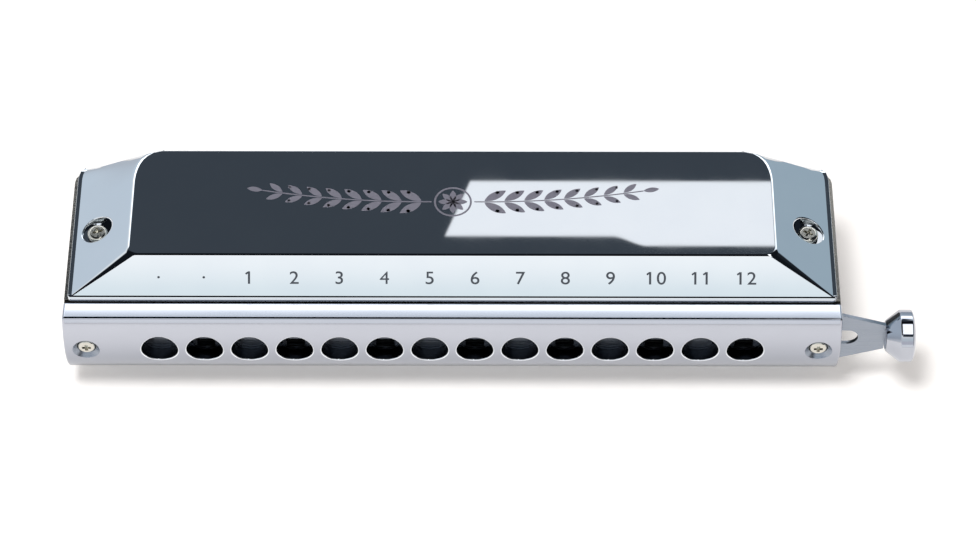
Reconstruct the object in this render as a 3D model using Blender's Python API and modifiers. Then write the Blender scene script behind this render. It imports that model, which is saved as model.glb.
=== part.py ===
# A chromatic harmonica with fourteen holes, built from the pieces that it comes apart into.
# Lengths are in metres. In the maker's frame x runs along the body towards the button, y from
# the front of the mouthpiece to the open back, and z up from the middle of the comb. One empty
# carries every piece, and stands the harmonica on the flat of its lower cover.
import math

import bmesh
import bpy
from mathutils import Matrix, Vector

mm = 0.001

# Holes
hole_count = 14
hole_pitch = 9.2 * mm
mouth_hole_radius = 3.7 * mm
body_end = 19.5 * mm          # from the middle of the last hole to the body's end

# Clearances
seat_gap = 0.05 * mm          # between two pieces that rest on each other
slide_gap = 0.1 * mm          # in front of the slide and behind it
stop_gap = 0.1 * mm           # between the slide and a bumper, at a stop
shank_gap = 0.05 * mm         # round a screw in its hole
past = 1.0 * mm               # how far a cutter runs past what it cuts

# Mouthpiece
mouthpiece_height = 16.0 * mm
mouthpiece_curve = 14.0 * mm  # radius of the front, seen from the end
mouthpiece_web = 3.2 * mm     # thickness in the middle of the front
mouthpiece_lip = 0.8 * mm     # thickness of the walls over and under the slide
mouthpiece_edge = 0.7 * mm    # rounding along the top and the bottom
mouthpiece_corner = 0.5 * mm  # rounding of the two ends

# Slide, and the two plates that it runs between
front_plate_thickness = 0.35 * mm
slide_thickness = 0.8 * mm
back_plate_thickness = 0.5 * mm
slide_side_gap = 0.2 * mm     # over and under the slide
window_bar = 0.8 * mm         # between two windows in one row
window_low = 0.8 * mm         # from the middle of the slide to a window
window_height = 2.7 * mm
fork_length = 5.2 * mm
slot_spare = 1.5 * mm         # length of the right slot past its bumper when the slide is in
arm_reach = 9.3 * mm          # from the body's end to the button
arm_tip_height = 7.6 * mm
tab_length = 2.6 * mm         # how deep the arm is set in the button

# Button
button_radius = 5.4 * mm
button_neck_radius = 3.1 * mm
button_neck_wall = 0.9 * mm   # over and under the arm's tab
button_cone = 2.9 * mm
button_rim = 2.3 * mm
button_dome = 1.1 * mm

# Spring and bumpers
spring_wire = 0.7 * mm
spring_coil_radius = 1.6 * mm
spring_turns = 2.5
spring_pitch = 1.15 * mm
spring_arm = 8.0 * mm         # from the middle of the coil to the slide
spring_rest_arm = 4.8 * mm    # from the coil to where the wire rests in the comb
spring_tip_depth = 0.6 * mm   # how far the wire goes into the slide
spring_hole = 1.4 * mm        # side of the square hole for its tip
spring_from_slot = 1.8 * mm   # from the tip to the slide's right slot
bumper_radius = 2.1 * mm

# Comb
comb_step = 0.7 * mm          # from the mouthpiece's channel in to the comb's faces
comb_tongue = 0.85 * mm       # how far the comb reaches into the channel
comb_front_wall = 2.85 * mm
comb_back_wall = 3.8 * mm
comb_corner = 3.0 * mm
cell_wall = 1.4 * mm
cell_web = 1.4 * mm           # between the upper cells and the lower ones

# Reed plates
plate_thickness = 1.05 * mm
plate_inset = 0.1 * mm        # how far the plate's edges stay inside the comb's
slot_side = 0.75 * mm         # on each side of a slot, in its half of a cell
slot_length_low = 21.0 * mm
slot_length_high = 10.0 * mm
slot_stagger = 3.4 * mm       # how far the draw slots lie behind the blow slots

# Reeds and valves, in rows that a strip along their roots joins
reed_thickness = 0.25 * mm
reed_side_gap = 0.1 * mm
rivet_radius = 0.8 * mm
rivet_height = 0.35 * mm
rivet_sides = 6
valve_thickness = 0.18 * mm
valve_side = 0.45 * mm        # on each side of a valve, in its half of a cell
valve_overlap = 0.6 * mm      # past the end of its slot
root_width = 2.0 * mm
root_gap = 0.3 * mm           # from the strip to its slot, and to the cell's end
strip_end = 1.0 * mm          # how far the strip runs past its outermost members
groove_depth = 0.5 * mm       # of the comb's grooves for the inner strips
groove_gap = 0.2 * mm

# Covers
cover_sheet = 0.5 * mm
cover_bend = 0.7 * mm         # width of the rounding along each fold
cover_height = 7.0 * mm       # from the reed plate to the flat
cover_skirt = 1.0 * mm
cover_from_mouthpiece = 1.1 * mm
cover_side_inset = 0.9 * mm   # from the body's end to the cover's side
cover_back_inset = 0.1 * mm
front_facet_run = 6.4 * mm
side_facet_run = 12.2 * mm
fold_least = 20               # degrees that a fold turns by, to be rounded
back_corner_run = 4.7 * mm    # how far the flat's curved back corners draw in
back_corner_length = 8.3 * mm
back_corner_steps = 4
cover_lip = 1.2 * mm
cup_radius = 3.4 * mm
cup_lift = 1.15 * mm          # from the reed plate to the cup's underside
cup_from_end = 6.1 * mm
cup_setback = 15.8 * mm       # from the cover's front edge

# Screws
recess_depth = 0.55           # depth of the cross, as a share of the head's height
recess_reach = 0.55           # reach of its arms, as a share of the head's radius
recess_blade = 0.17           # half the width of its arms, as a share of the same radius
head_crown = 0.55             # height of the head's domed edge, as a share of its height
head_flat = 0.75              # radius of its flat top, as a share of its radius
bolt_radius = 1.0 * mm
bolt_head_radius = 2.0 * mm
bolt_head_height = 1.4 * mm
nut_width = 4.0 * mm          # across the flats
nut_height = 1.6 * mm
mouth_screw_from_end = 4.5 * mm
mouth_screw_length = 11.0 * mm
mouth_head_radius = 1.8 * mm
mouth_head_height = 1.1 * mm
counterbore_radius = 2.8 * mm
counterbore_depth = 1.7 * mm
pilot_spare = 1.0 * mm        # depth of a screw's hole past its tip
plate_screw_radius = 0.7 * mm
plate_screw_length = 5.0 * mm
plate_head_radius = 1.4 * mm
plate_head_height = 0.8 * mm
plate_screw_from_end = 12.0 * mm
plate_screw_from_back = 1.9 * mm
plate_screw_setback = 11.2 * mm   # of the front pair, from the plate's front edge
plate_screw_middle = 22.0 * mm    # of the middle pair, from the middle

# Along the body
half_length = (hole_count - 1) * hole_pitch / 2 + body_end
hole_xs = [(i - (hole_count - 1) / 2) * hole_pitch for i in range(hole_count)]
slide_travel = hole_pitch / 2
window_width = slide_travel - window_bar
cell_width = hole_pitch - cell_wall
slot_width = cell_width / 2 - 2 * slot_side
valve_width = cell_width / 2 - 2 * valve_side
blow_xs = [x - cell_width / 4 for x in hole_xs]
draw_xs = [x + cell_width / 4 for x in hole_xs]
mouth_screw_x = half_length - mouth_screw_from_end
cup_x = half_length - cup_from_end
cover_half = half_length - cover_side_inset
flat_half = cover_half - side_facet_run
stop_reach = bumper_radius + stop_gap
slot_start_x = mouth_screw_x - stop_reach
slot_end_x = mouth_screw_x + stop_reach + slide_travel + slot_spare
fork_root_x = -mouth_screw_x + stop_reach + slide_travel
button_x = half_length + arm_reach
spring_tip_x = slot_start_x - spring_from_slot
spring_coil_x = spring_tip_x - 2 * spring_coil_radius

# Front to back
front_plate_y = mouthpiece_web + seat_gap
slide_y = front_plate_y + front_plate_thickness + slide_gap
slide_middle_y = slide_y + slide_thickness / 2
back_plate_y = slide_y + slide_thickness + slide_gap
comb_front = back_plate_y + back_plate_thickness + seat_gap
mouthpiece_depth = comb_front + comb_tongue
cell_front = comb_front + comb_front_wall
blow_root_y = cell_front + root_gap + root_width / 2
blow_slot_y = blow_root_y + root_width / 2 + root_gap
draw_slot_y = blow_slot_y + slot_length_low + slot_stagger
draw_root_y = draw_slot_y + root_gap + root_width / 2
cell_back = draw_root_y + root_width / 2 + root_gap
comb_back = cell_back + comb_back_wall
plate_front = mouthpiece_depth + plate_inset
cover_front = mouthpiece_depth + cover_from_mouthpiece
cover_back = comb_back - cover_back_inset
flat_front = cover_front + front_facet_run
cup_y = cover_front + cup_setback
spring_y = slide_middle_y + spring_arm

# Up from the middle
channel_half = mouthpiece_height / 2 - mouthpiece_lip
slide_half = channel_half - slide_side_gap
comb_half = channel_half - comb_step
plate_bottom = comb_half + seat_gap
plate_top = plate_bottom + plate_thickness
cover_base = plate_top + seat_gap
cup_floor = cover_base + cup_lift + cover_sheet
flat_z = cover_base + cover_height
tab_half = button_neck_radius - button_neck_wall

parts = bpy.data.collections.new("chromatic_harmonica")
cutters = bpy.data.collections.new("cutters")


# Helpers
def material(name, colour, roughness, metallic):
    made = bpy.data.materials.new(name)
    made.use_nodes = True
    shader = made.node_tree.nodes["Principled BSDF"]
    shader.inputs["Base Color"].default_value = (*colour, 1.0)
    shader.inputs["Roughness"].default_value = roughness
    shader.inputs["Metallic"].default_value = metallic
    made.diffuse_color = (*colour, 1.0)
    return made


# A piece where a finish is given, and otherwise a cutter
def add_object(name, mesh, finish=None):
    obj = bpy.data.objects.new(name, mesh)
    if finish is None:
        obj.hide_render = True
        obj.display_type = "WIRE"
        cutters.objects.link(obj)
    else:
        mesh.materials.clear()
        mesh.materials.append(finish)
        parts.objects.link(obj)
    return obj


def add_from(name, bm, finish=None):
    mesh = bpy.data.meshes.new(name)
    bm.to_mesh(mesh)
    bm.free()
    return add_object(name, mesh, finish)


def boxes(name, pairs, finish=None):
    bm = bmesh.new()
    for low, high in pairs:
        low, high = Vector(low), Vector(high)
        place = Matrix.Translation((low + high) / 2) @ Matrix.Diagonal((*(high - low), 1))
        bmesh.ops.create_cube(bm, size=1, matrix=place)
    return add_from(name, bm, finish)


def cylinders(name, centres, radius, depth, axis="Z", segments=12, finish=None):
    turn = Matrix.Rotation(math.pi / 2, 4, "X") if axis == "Y" else Matrix.Identity(4)
    bm = bmesh.new()
    for centre in centres:
        bmesh.ops.create_cone(bm, cap_ends=True, segments=segments, radius1=radius, radius2=radius,
                              depth=depth, matrix=Matrix.Translation(centre) @ turn)
    return add_from(name, bm, finish)


# A flat outline drawn out along z, or along y for an outline in x and z
def extruded(name, outline, low, high, axis="Z", finish=None):
    bm = bmesh.new()
    if axis == "Y":
        corners = [bm.verts.new((x, low, z)) for x, z in outline]
        step = Vector((0, high - low, 0))
    else:
        corners = [bm.verts.new((x, y, low)) for x, y in outline]
        step = Vector((0, 0, high - low))
    face = bm.faces.new(corners)
    far = bmesh.ops.extrude_face_region(bm, geom=[face])["geom"]
    moved = [v for v in far if isinstance(v, bmesh.types.BMVert)]
    bmesh.ops.translate(bm, verts=moved, vec=step)
    bmesh.ops.recalc_face_normals(bm, faces=bm.faces)
    return add_from(name, bm, finish)


# A solid drawn through rings of points, and closed over its first ring and its last
def lofted(rings):
    bm = bmesh.new()
    layers = [[bm.verts.new(point) for point in ring] for ring in rings]
    bm.faces.new(layers[0])
    bm.faces.new(layers[-1])
    for near, far in zip(layers, layers[1:]):
        for i in range(len(near)):
            j = (i + 1) % len(near)
            bm.faces.new((near[i], near[j], far[j], far[i]))
    bmesh.ops.recalc_face_normals(bm, faces=bm.faces)
    return bm


# A profile of radius and height, turned round z
def turned(name, profile, steps, finish):
    bm = bmesh.new()
    points = [bm.verts.new((radius, 0, z)) for radius, z in profile]
    for near, far in zip(points, points[1:]):
        bm.edges.new((near, far))
    obj = add_from(name, bm, finish)
    spin = obj.modifiers.new("turn", "SCREW")
    spin.steps = spin.render_steps = steps
    spin.use_merge_vertices = True
    spin.merge_threshold = 1e-6
    return obj


def cut(obj, cutter, operation="DIFFERENCE"):
    step = obj.modifiers.new(cutter.name, "BOOLEAN")
    step.operation = operation
    step.object = cutter
    return obj


# The mesh as it stands with its modifiers, for a copy or a further step
def evaluated_mesh(obj):
    bpy.context.view_layer.update()
    graph = bpy.context.evaluated_depsgraph_get()
    return bpy.data.meshes.new_from_object(obj.evaluated_get(graph))


def mirrored_below(obj, name):
    mesh = evaluated_mesh(obj)
    mesh.transform(Matrix.Diagonal((1, 1, -1, 1)))
    mesh.flip_normals()
    return add_object(name, mesh, obj.data.materials[0])


# Mouthpiece
# The section's outer side, from the top round the front: y, z and the direction that it faces
def mouthpiece_section():
    half, edge, curve = mouthpiece_height / 2, mouthpiece_edge, mouthpiece_curve
    # The rounding of an edge touches the flat top and the curved front.
    edge_y = curve - math.sqrt((curve - edge) ** 2 - (half - edge) ** 2)
    touch = math.asin((half - edge) / (curve - edge))
    upper = [(mouthpiece_depth, half, 0, 1)]
    for i in range(3):
        a = math.pi / 2 + (math.pi / 2 - touch) * i / 3
        y, z = edge_y + edge * math.cos(a), half - edge + edge * math.sin(a)
        upper.append((y, z, math.cos(a), math.sin(a)))
    front = []
    for i in range(9):
        a = math.pi - touch + 2 * touch * i / 8
        front.append((curve + curve * math.cos(a), curve * math.sin(a), math.cos(a), math.sin(a)))
    return upper + front + [(y, -z, ny, -nz) for y, z, ny, nz in reversed(upper)]


def make_mouthpiece():
    channel = [(mouthpiece_depth, -channel_half), (mouthpiece_web, -channel_half),
               (mouthpiece_web, channel_half), (mouthpiece_depth, channel_half)]
    rings = []
    for angle in (90, 45, 0):
        a = math.radians(angle)
        inset = mouthpiece_corner * (1 - math.cos(a))
        x = half_length - mouthpiece_corner * (1 - math.sin(a))
        section = [(y - ny * inset, z - nz * inset) for y, z, ny, nz in mouthpiece_section()]
        rings.append([(-x, y, z) for y, z in section + channel])
    rings += [[(-x, y, z) for x, y, z in ring] for ring in reversed(rings)]
    obj = add_from("mouthpiece", lofted(rings), chrome)
    depth = 2 * (mouthpiece_web + past)
    holes = [(x, 0, 0) for x in hole_xs]
    cut(obj, cylinders("mouth_holes", holes, mouth_hole_radius, depth, "Y", 16))
    seats = [(x, counterbore_depth - depth / 2, 0) for x in (-mouth_screw_x, mouth_screw_x)]
    cut(obj, cylinders("mouth_screw_seats", seats, counterbore_radius, depth, "Y", 16))
    return bore_for_mouth_screws(obj, 0, depth)


def bore_for_mouth_screws(obj, y, depth):
    places = [(x, y, 0) for x in (-mouth_screw_x, mouth_screw_x)]
    return cut(obj, cylinders(obj.name + "_screw_holes", places, bolt_radius + shank_gap, depth, "Y"))


# Slide and its plates
def plate_outline():
    end, edge = half_length - seat_gap, channel_half - seat_gap
    return [(-end, -edge), (end, -edge), (end, edge), (-end, edge)]


def window_box(x, side, y, depth):
    z = sorted((side * window_low, side * (window_low + window_height)))
    return ((x - window_width / 2, y, z[0]), (x + window_width / 2, y + depth, z[1]))


def spring_hole_box(reach, y, depth):
    side = spring_hole / 2
    return ((spring_tip_x - reach - side, y, -side), (spring_tip_x + side, y + depth, side))


def make_front_plate():
    back = front_plate_y + front_plate_thickness
    obj = extruded("slide_front_plate", plate_outline(), front_plate_y, back, "Y", steel)
    depth = front_plate_thickness + 2 * past
    holes = [(x, front_plate_y, 0) for x in hole_xs]
    cut(obj, cylinders("front_plate_holes", holes, mouth_hole_radius, depth, "Y"))
    return bore_for_mouth_screws(obj, front_plate_y, depth)


def make_back_plate():
    back = back_plate_y + back_plate_thickness
    obj = extruded("slide_back_plate", plate_outline(), back_plate_y, back, "Y", steel)
    y, depth = back_plate_y - past, back_plate_thickness + 2 * past
    windows = [window_box(x, side, y, depth) for x in hole_xs for side in (1, -1)]
    cut(obj, boxes("back_plate_windows", windows + [spring_hole_box(slide_travel, y, depth)]))
    return bore_for_mouth_screws(obj, back_plate_y, depth)


def make_slide():
    arm_start, arm_end = half_length + seat_gap, button_x - seat_gap
    tip, tab_end = arm_tip_height / 2, button_x + tab_length
    left = fork_root_x - fork_length
    lower = [(fork_root_x, -stop_reach), (left, -stop_reach), (left, -slide_half), (arm_start, -slide_half),
             (arm_end, -tip), (arm_end, -tab_half), (tab_end, -tab_half)]
    outline = lower + [(x, -z) for x, z in reversed(lower)]
    obj = extruded("slide", outline, slide_y, slide_y + slide_thickness, "Y", steel)
    y, depth = slide_y - past, slide_thickness + 2 * past
    # One window of each hole's pair lines up with the slide out, and the other with it pressed.
    windows = []
    for i, x in enumerate(hole_xs):
        side = 1 if i % 2 == 0 else -1
        windows += [window_box(x, side, y, depth), window_box(x + slide_travel, -side, y, depth)]
    cut(obj, boxes("slide_windows", windows + [spring_hole_box(0, y, depth)]))
    return cut(obj, extruded("slide_screw_slot", screw_slot_outline(), y, y + depth, "Y"))


# Straight sides between two half circles
def screw_slot_outline():
    outline = []
    for i in range(9):
        a = math.pi * i / 8 - math.pi / 2
        x = slot_end_x - stop_reach + stop_reach * math.cos(a)
        outline.append((x, stop_reach * math.sin(a)))
    for i in range(9):
        a = math.pi * i / 8 + math.pi / 2
        x = slot_start_x + stop_reach + stop_reach * math.cos(a)
        outline.append((x, stop_reach * math.sin(a)))
    return outline


def make_bumper(name, x):
    length = slide_thickness + 2 * slide_gap - 2 * seat_gap
    place = [(x, slide_middle_y, 0)]
    obj = cylinders(name, place, bumper_radius, length, "Y", 16, rubber)
    return cut(obj, cylinders(name + "_bore", place, bolt_radius + shank_gap, length + 2 * past, "Y"))


def make_button():
    rim, top = button_cone + button_rim, button_cone + button_rim + button_dome
    profile = []
    for i in range(4):
        a = math.pi / 2 * i / 3
        profile.append((button_radius * math.sin(a), rim + button_dome * math.cos(a)))
    profile += [(button_radius, button_cone), (button_neck_radius, 0), (0, 0)]
    upright = turned("button_upright", profile, 24, chrome)
    mesh = evaluated_mesh(upright)
    bpy.data.objects.remove(upright)
    mesh.transform(Matrix.Rotation(math.pi / 2, 4, "Y"))
    mesh.transform(Matrix.Translation((button_x, slide_middle_y, 0)))
    obj = add_object("slide_button", mesh, chrome)
    low = (button_x - past, slide_y - seat_gap, -tab_half - seat_gap)
    high = (button_x + tab_length + seat_gap, slide_y + slide_thickness + seat_gap, tab_half + seat_gap)
    return cut(obj, boxes("button_socket", [(low, high)]))


# One wire: an arm into the slide, a coil, and an arm that rests in the comb
def make_spring():
    points = [(spring_tip_x, slide_y + slide_thickness - spring_tip_depth, 0)]
    turn_steps = 10
    for i in range(int(spring_turns * turn_steps) + 1):
        a = 2 * math.pi * i / turn_steps
        points.append((spring_coil_x + spring_coil_radius * math.cos(a),
                       spring_y + spring_coil_radius * math.sin(a), spring_pitch * i / turn_steps))
    x, y, z = points[-1]
    points.append((x, y - spring_rest_arm, z))
    curve = bpy.data.curves.new("slide_spring", "CURVE")
    curve.dimensions = "3D"
    curve.bevel_depth = spring_wire / 2
    curve.bevel_resolution = 2
    curve.use_fill_caps = True
    curve.materials.append(steel)
    spline = curve.splines.new("POLY")
    spline.points.add(len(points) - 1)
    for point, place in zip(spline.points, points):
        point.co = (*place, 1)
    parts.objects.link(bpy.data.objects.new("slide_spring", curve))


# Comb and reed plates
# Their outline, drawn in by the inset, with round corners at the back
def body_outline(inset, front):
    end, back = half_length - inset, comb_back - inset
    right = [(end, front)]
    for i in range(5):
        a = math.pi / 2 * i / 4
        right.append((end - comb_corner * (1 - math.cos(a)), back - comb_corner * (1 - math.sin(a))))
    return right + [(-x, y) for x, y in reversed(right)]


def plate_screw_places():
    back, end = comb_back - plate_screw_from_back, half_length - plate_screw_from_end
    front = plate_front + plate_screw_setback
    return [(-end, front), (end, front), (-end, back), (end, back),
            (-plate_screw_middle, back), (plate_screw_middle, back)]


# The screws' and the bolts' holes, which run right through the body
def bore_for_plates(obj):
    small = [(x, y, 0) for x, y in plate_screw_places()]
    depth = 2 * (plate_top + past)
    cut(obj, cylinders(obj.name + "_screw_holes", small, plate_screw_radius + shank_gap, depth, segments=8))
    bolts = [(x, cup_y, 0) for x in (-cup_x, cup_x)]
    return cut(obj, cylinders(obj.name + "_bolt_holes", bolts, bolt_radius + shank_gap, depth))


def make_comb():
    obj = extruded("comb", body_outline(0, comb_front), -comb_half, comb_half, finish=black_plastic)
    cells, inlets = [], []
    for x in hole_xs:
        for side in (1, -1):
            z = sorted((side * cell_web / 2, side * (comb_half + past)))
            cells.append(((x - cell_width / 2, cell_front, z[0]), (x + cell_width / 2, cell_back, z[1])))
            inlets.append(window_box(x, side, comb_front - past, comb_front_wall + 2 * past))
    cut(obj, boxes("comb_cells", cells))
    cut(obj, boxes("comb_inlets", inlets))
    cut(obj, boxes("comb_grooves", groove_boxes()))
    cut(obj, boxes("spring_pocket", [pocket_box()]))
    bore_for_plates(obj)
    # The shanks' tips stop short of the holes' ends.
    tip = counterbore_depth + mouth_screw_length + pilot_spare
    return bore_for_mouth_screws(obj, comb_front - past + (tip - comb_front + past) / 2, tip - comb_front + past)


# Grooves across the comb's faces, for the strips that join the inner reeds and valves
def groove_boxes():
    end = max(-blow_xs[0], draw_xs[-1]) + valve_width / 2 + strip_end + groove_gap
    width = root_width / 2 + groove_gap
    grooves = []
    for side in (1, -1):
        z = sorted((side * (comb_half - groove_depth), side * (comb_half + past)))
        for y in (blow_root_y, draw_root_y):
            grooves.append(((-end, y - width, z[0]), (end, y + width, z[1])))
    return grooves


def pocket_box():
    room = spring_wire
    left = spring_coil_x - spring_coil_radius - room
    back = spring_y + spring_coil_radius + room
    return ((left, comb_front - past, -room), (spring_tip_x + room, back, spring_turns * spring_pitch + room))


# Low notes are at the left, with the longest slots.
def slot_length(i):
    return slot_length_low + (slot_length_high - slot_length_low) * i / (hole_count - 1)


def make_reed_plate():
    outline = body_outline(plate_inset, plate_front)
    obj = extruded("reed_plate_upper", outline, plate_bottom, plate_top, finish=plated_brass)
    slots = []
    low, high = plate_bottom - past, plate_top + past
    for i in range(hole_count):
        left, right = blow_xs[i] - slot_width / 2, blow_xs[i] + slot_width / 2
        slots.append(((left, blow_slot_y, low), (right, blow_slot_y + slot_length(i), high)))
        left, right = draw_xs[i] - slot_width / 2, draw_xs[i] + slot_width / 2
        slots.append(((left, draw_slot_y - slot_length(i), low), (right, draw_slot_y, high)))
    cut(obj, boxes("reed_slots", slots))
    return bore_for_plates(obj)


# A row cut from one flat strip. Each member runs from the strip to its tip.
def tongue_row(name, xs, root_y, tips, width, low, high, finish):
    ahead = 1 if tips[0] > root_y else -1
    near, far = root_y + ahead * root_width / 2, root_y - ahead * root_width / 2
    start, end = xs[0] - width / 2 - strip_end, xs[-1] + width / 2 + strip_end
    outline = [(start, far), (start, near)]
    for x, tip in zip(xs, tips):
        left, right = x - width / 2, x + width / 2
        outline += [(left, near), (left, tip), (right, tip), (right, near)]
    outline += [(end, near), (end, far)]
    return extruded(name, outline, low, high, finish=finish)


# Outside are the reeds of the draw slots, and inside those of the blow slots.
def make_reeds(name, outside):
    reach = [slot_length(i) - reed_side_gap for i in range(hole_count)]
    if outside:
        xs, root_y, tips = draw_xs, draw_root_y, [draw_slot_y - length for length in reach]
        low, up = plate_top + seat_gap, 1
    else:
        xs, root_y, tips = blow_xs, blow_root_y, [blow_slot_y + length for length in reach]
        low, up = plate_bottom - seat_gap - reed_thickness, -1
    width = slot_width - 2 * reed_side_gap
    obj = tongue_row(name, xs, root_y, tips, width, low, low + reed_thickness, bronze)
    # A rivet's head starts halfway through the strip.
    depth = reed_thickness / 2 + rivet_height
    middle = low + reed_thickness / 2 + up * depth / 2
    heads = [(x, root_y, middle) for x in xs]
    return cut(obj, cylinders(name + "_rivets", heads, rivet_radius, depth, segments=rivet_sides), "UNION")


# Each valve lies over the slot whose reed is on the plate's other face.
def make_valves(name, outside):
    reach = [slot_length(i) + valve_overlap for i in range(hole_count)]
    if outside:
        xs, root_y, tips = blow_xs, blow_root_y, [blow_slot_y + length for length in reach]
        low = plate_top + seat_gap
    else:
        xs, root_y, tips = draw_xs, draw_root_y, [draw_slot_y - length for length in reach]
        low = plate_bottom - seat_gap - valve_thickness
    return tongue_row(name, xs, root_y, tips, valve_width, low, low + valve_thickness, clear_plastic)


# Covers
# Matching points round the cover's fold over its skirt and round its flat
def cover_outlines(inset):
    rise = cover_height - cover_skirt
    half, front, back = cover_half - inset, cover_front + inset, cover_back - inset
    top_half = flat_half - inset * math.tan(math.atan2(rise, side_facet_run) / 2)
    top_front = flat_front + inset * math.tan(math.atan2(rise, front_facet_run) / 2)
    base, flat = [(half, front)], [(top_half, top_front)]
    for i in range(back_corner_steps + 1):
        a = math.pi / 2 * i / back_corner_steps
        y = back - back_corner_length * (1 - math.sin(a))
        base.append((half, y))
        flat.append((top_half - back_corner_run * (1 - math.cos(a)), y))
    base += [(-x, y) for x, y in reversed(base)]
    flat += [(-x, y) for x, y in reversed(flat)]
    return base, flat


# A solid of the cover's form, drawn in from the outer faces by the inset
def cover_form(name, inset, low, finish=None):
    base, flat = cover_outlines(inset)
    levels = ((base, low), (base, cover_base + cover_skirt - inset / 2), (flat, flat_z - inset))
    bm = lofted([[(x, y, z) for x, y in outline] for outline, z in levels])
    folds = [edge for edge in bm.edges if edge.calc_face_angle() > math.radians(fold_least)
             and max(v.co.z for v in edge.verts) > cover_base]
    bmesh.ops.bevel(bm, geom=folds, offset=cover_bend - inset / 2, segments=2, profile=0.5,
                    affect="EDGES", clamp_overlap=True)
    return add_from(name, bm, finish)


def make_cover():
    obj = cover_form("cover_upper", 0, cover_base, chrome)
    hollow = cover_form("cover_hollow", cover_sheet, cover_base - past)
    # The cups for the bolts stay out of the hollow, and are bored from above.
    height = 2 * cover_height
    columns = [(x, cup_y, cup_floor - cover_sheet + height / 2) for x in (-cup_x, cup_x)]
    cut(hollow, cylinders("cup_columns", columns, cup_radius + cover_sheet, height, segments=24))
    cut(obj, hollow)
    bores = [(x, cup_y, cup_floor + height / 2) for x in (-cup_x, cup_x)]
    cut(obj, cylinders("cup_bores", bores, cup_radius, height, segments=24))
    shanks = [(x, cup_y, cup_floor) for x in (-cup_x, cup_x)]
    depth = 2 * (cover_sheet + past)
    cut(obj, cylinders("cup_bolt_holes", shanks, bolt_radius + shank_gap, depth))
    y = cover_back - cover_sheet - past
    return cut(obj, extruded("cover_opening", back_opening_outline(), y, cover_back + past, "Y"))


# The back wall keeps a lip along the folds above it and is open below them.
def back_opening_outline():
    end_x = flat_half - back_corner_run
    run, rise = cover_half - end_x, cover_height - cover_skirt
    top = flat_z - cover_lip
    top_x = end_x - cover_lip * (math.hypot(run, rise) - run) / rise
    foot_x = cover_half - 2 * cover_lip
    foot_z = top - (foot_x - top_x) * rise / run
    right = [(foot_x, cover_base - past), (foot_x, foot_z), (top_x, top)]
    return right + [(-x, z) for x, z in reversed(right)]


# Screws and nuts
# A pan head with a cross recess. Its seat is at z = 0, and its shank runs down.
def screw_mesh(name, head_radius, head_height, shank_radius, length, steps):
    crown = head_height * (1 - head_crown)
    profile = [(0, head_height), (head_radius * head_flat, head_height), (head_radius, crown),
               (head_radius, 0), (shank_radius, 0), (shank_radius, -length), (0, -length)]
    plain = turned(name, profile, steps, screw_steel)
    reach, blade = head_radius * recess_reach, head_radius * recess_blade
    cross = []
    for turn in range(4):
        spin = Matrix.Rotation(math.pi / 2 * turn, 2)
        cross += [spin @ Vector(corner) for corner in ((reach, -blade), (reach, blade), (blade, blade))]
    recess = extruded(name + "_recess", cross, head_height * (1 - recess_depth), head_height + past)
    mesh = evaluated_mesh(cut(plain, recess))
    bpy.data.objects.remove(plain)
    bpy.data.objects.remove(recess)
    return mesh


def place_screw(name, mesh, location, rotation=(0, 0, 0)):
    obj = add_object(name, mesh, screw_steel)
    obj.location = location
    obj.rotation_euler = rotation


def make_nut(name, x):
    middle = -cup_floor - seat_gap - nut_height / 2
    radius = nut_width / math.sqrt(3)
    obj = cylinders(name, [(x, cup_y, middle)], radius, nut_height, segments=6, finish=screw_steel)
    depth = nut_height + 2 * past
    return cut(obj, cylinders(name + "_bore", [(x, cup_y, middle)], bolt_radius + shank_gap, depth))


def make_fasteners():
    length = 2 * (cup_floor + seat_gap) + nut_height
    bolt = screw_mesh("cover_bolt", bolt_head_radius, bolt_head_height, bolt_radius, length, 16)
    screw = screw_mesh("mouthpiece_screw", mouth_head_radius, mouth_head_height, bolt_radius,
                       mouth_screw_length, 16)
    for name, side in (("left", -1), ("right", 1)):
        place_screw("cover_bolt_" + name, bolt, (side * cup_x, cup_y, cup_floor + seat_gap))
        make_nut("cover_nut_" + name, side * cup_x)
        seat = (side * mouth_screw_x, counterbore_depth - seat_gap, 0)
        place_screw("mouthpiece_screw_" + name, screw, seat, (math.pi / 2, 0, 0))
    small = screw_mesh("plate_screw", plate_head_radius, plate_head_height, plate_screw_radius,
                       plate_screw_length, 10)
    z = plate_top + seat_gap
    for number, (x, y) in enumerate(plate_screw_places(), 1):
        place_screw(f"upper_plate_screw_{number}", small, (x, y, z))
        place_screw(f"lower_plate_screw_{number}", small, (x, y, -z), (math.pi, 0, 0))


# The whole harmonica
def put_together():
    whole = bpy.data.objects.new("harmonica", None)
    whole.location = (0, -(flat_front + cover_back) / 2, flat_z)
    carriage = bpy.data.objects.new("slide_line", None)
    carriage.location = (0, slide_middle_y, 0)
    carriage.parent = whole
    for piece in [*parts.objects, *cutters.objects]:
        piece.parent = whole
        if piece.type == "MESH":
            piece.data.shade_smooth()
            piece.data.set_sharp_from_angle(angle=math.radians(30))
    for name in ("slide", "slide_button"):
        piece = parts.objects[name]
        piece.parent = carriage
        piece.matrix_parent_inverse = Matrix.Translation((0, -slide_middle_y, 0))
    parts.objects.link(whole)
    parts.objects.link(carriage)


for old in list(bpy.data.objects):
    bpy.data.objects.remove(old)
bpy.context.scene.collection.children.link(parts)
bpy.context.scene.collection.children.link(cutters)

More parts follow.
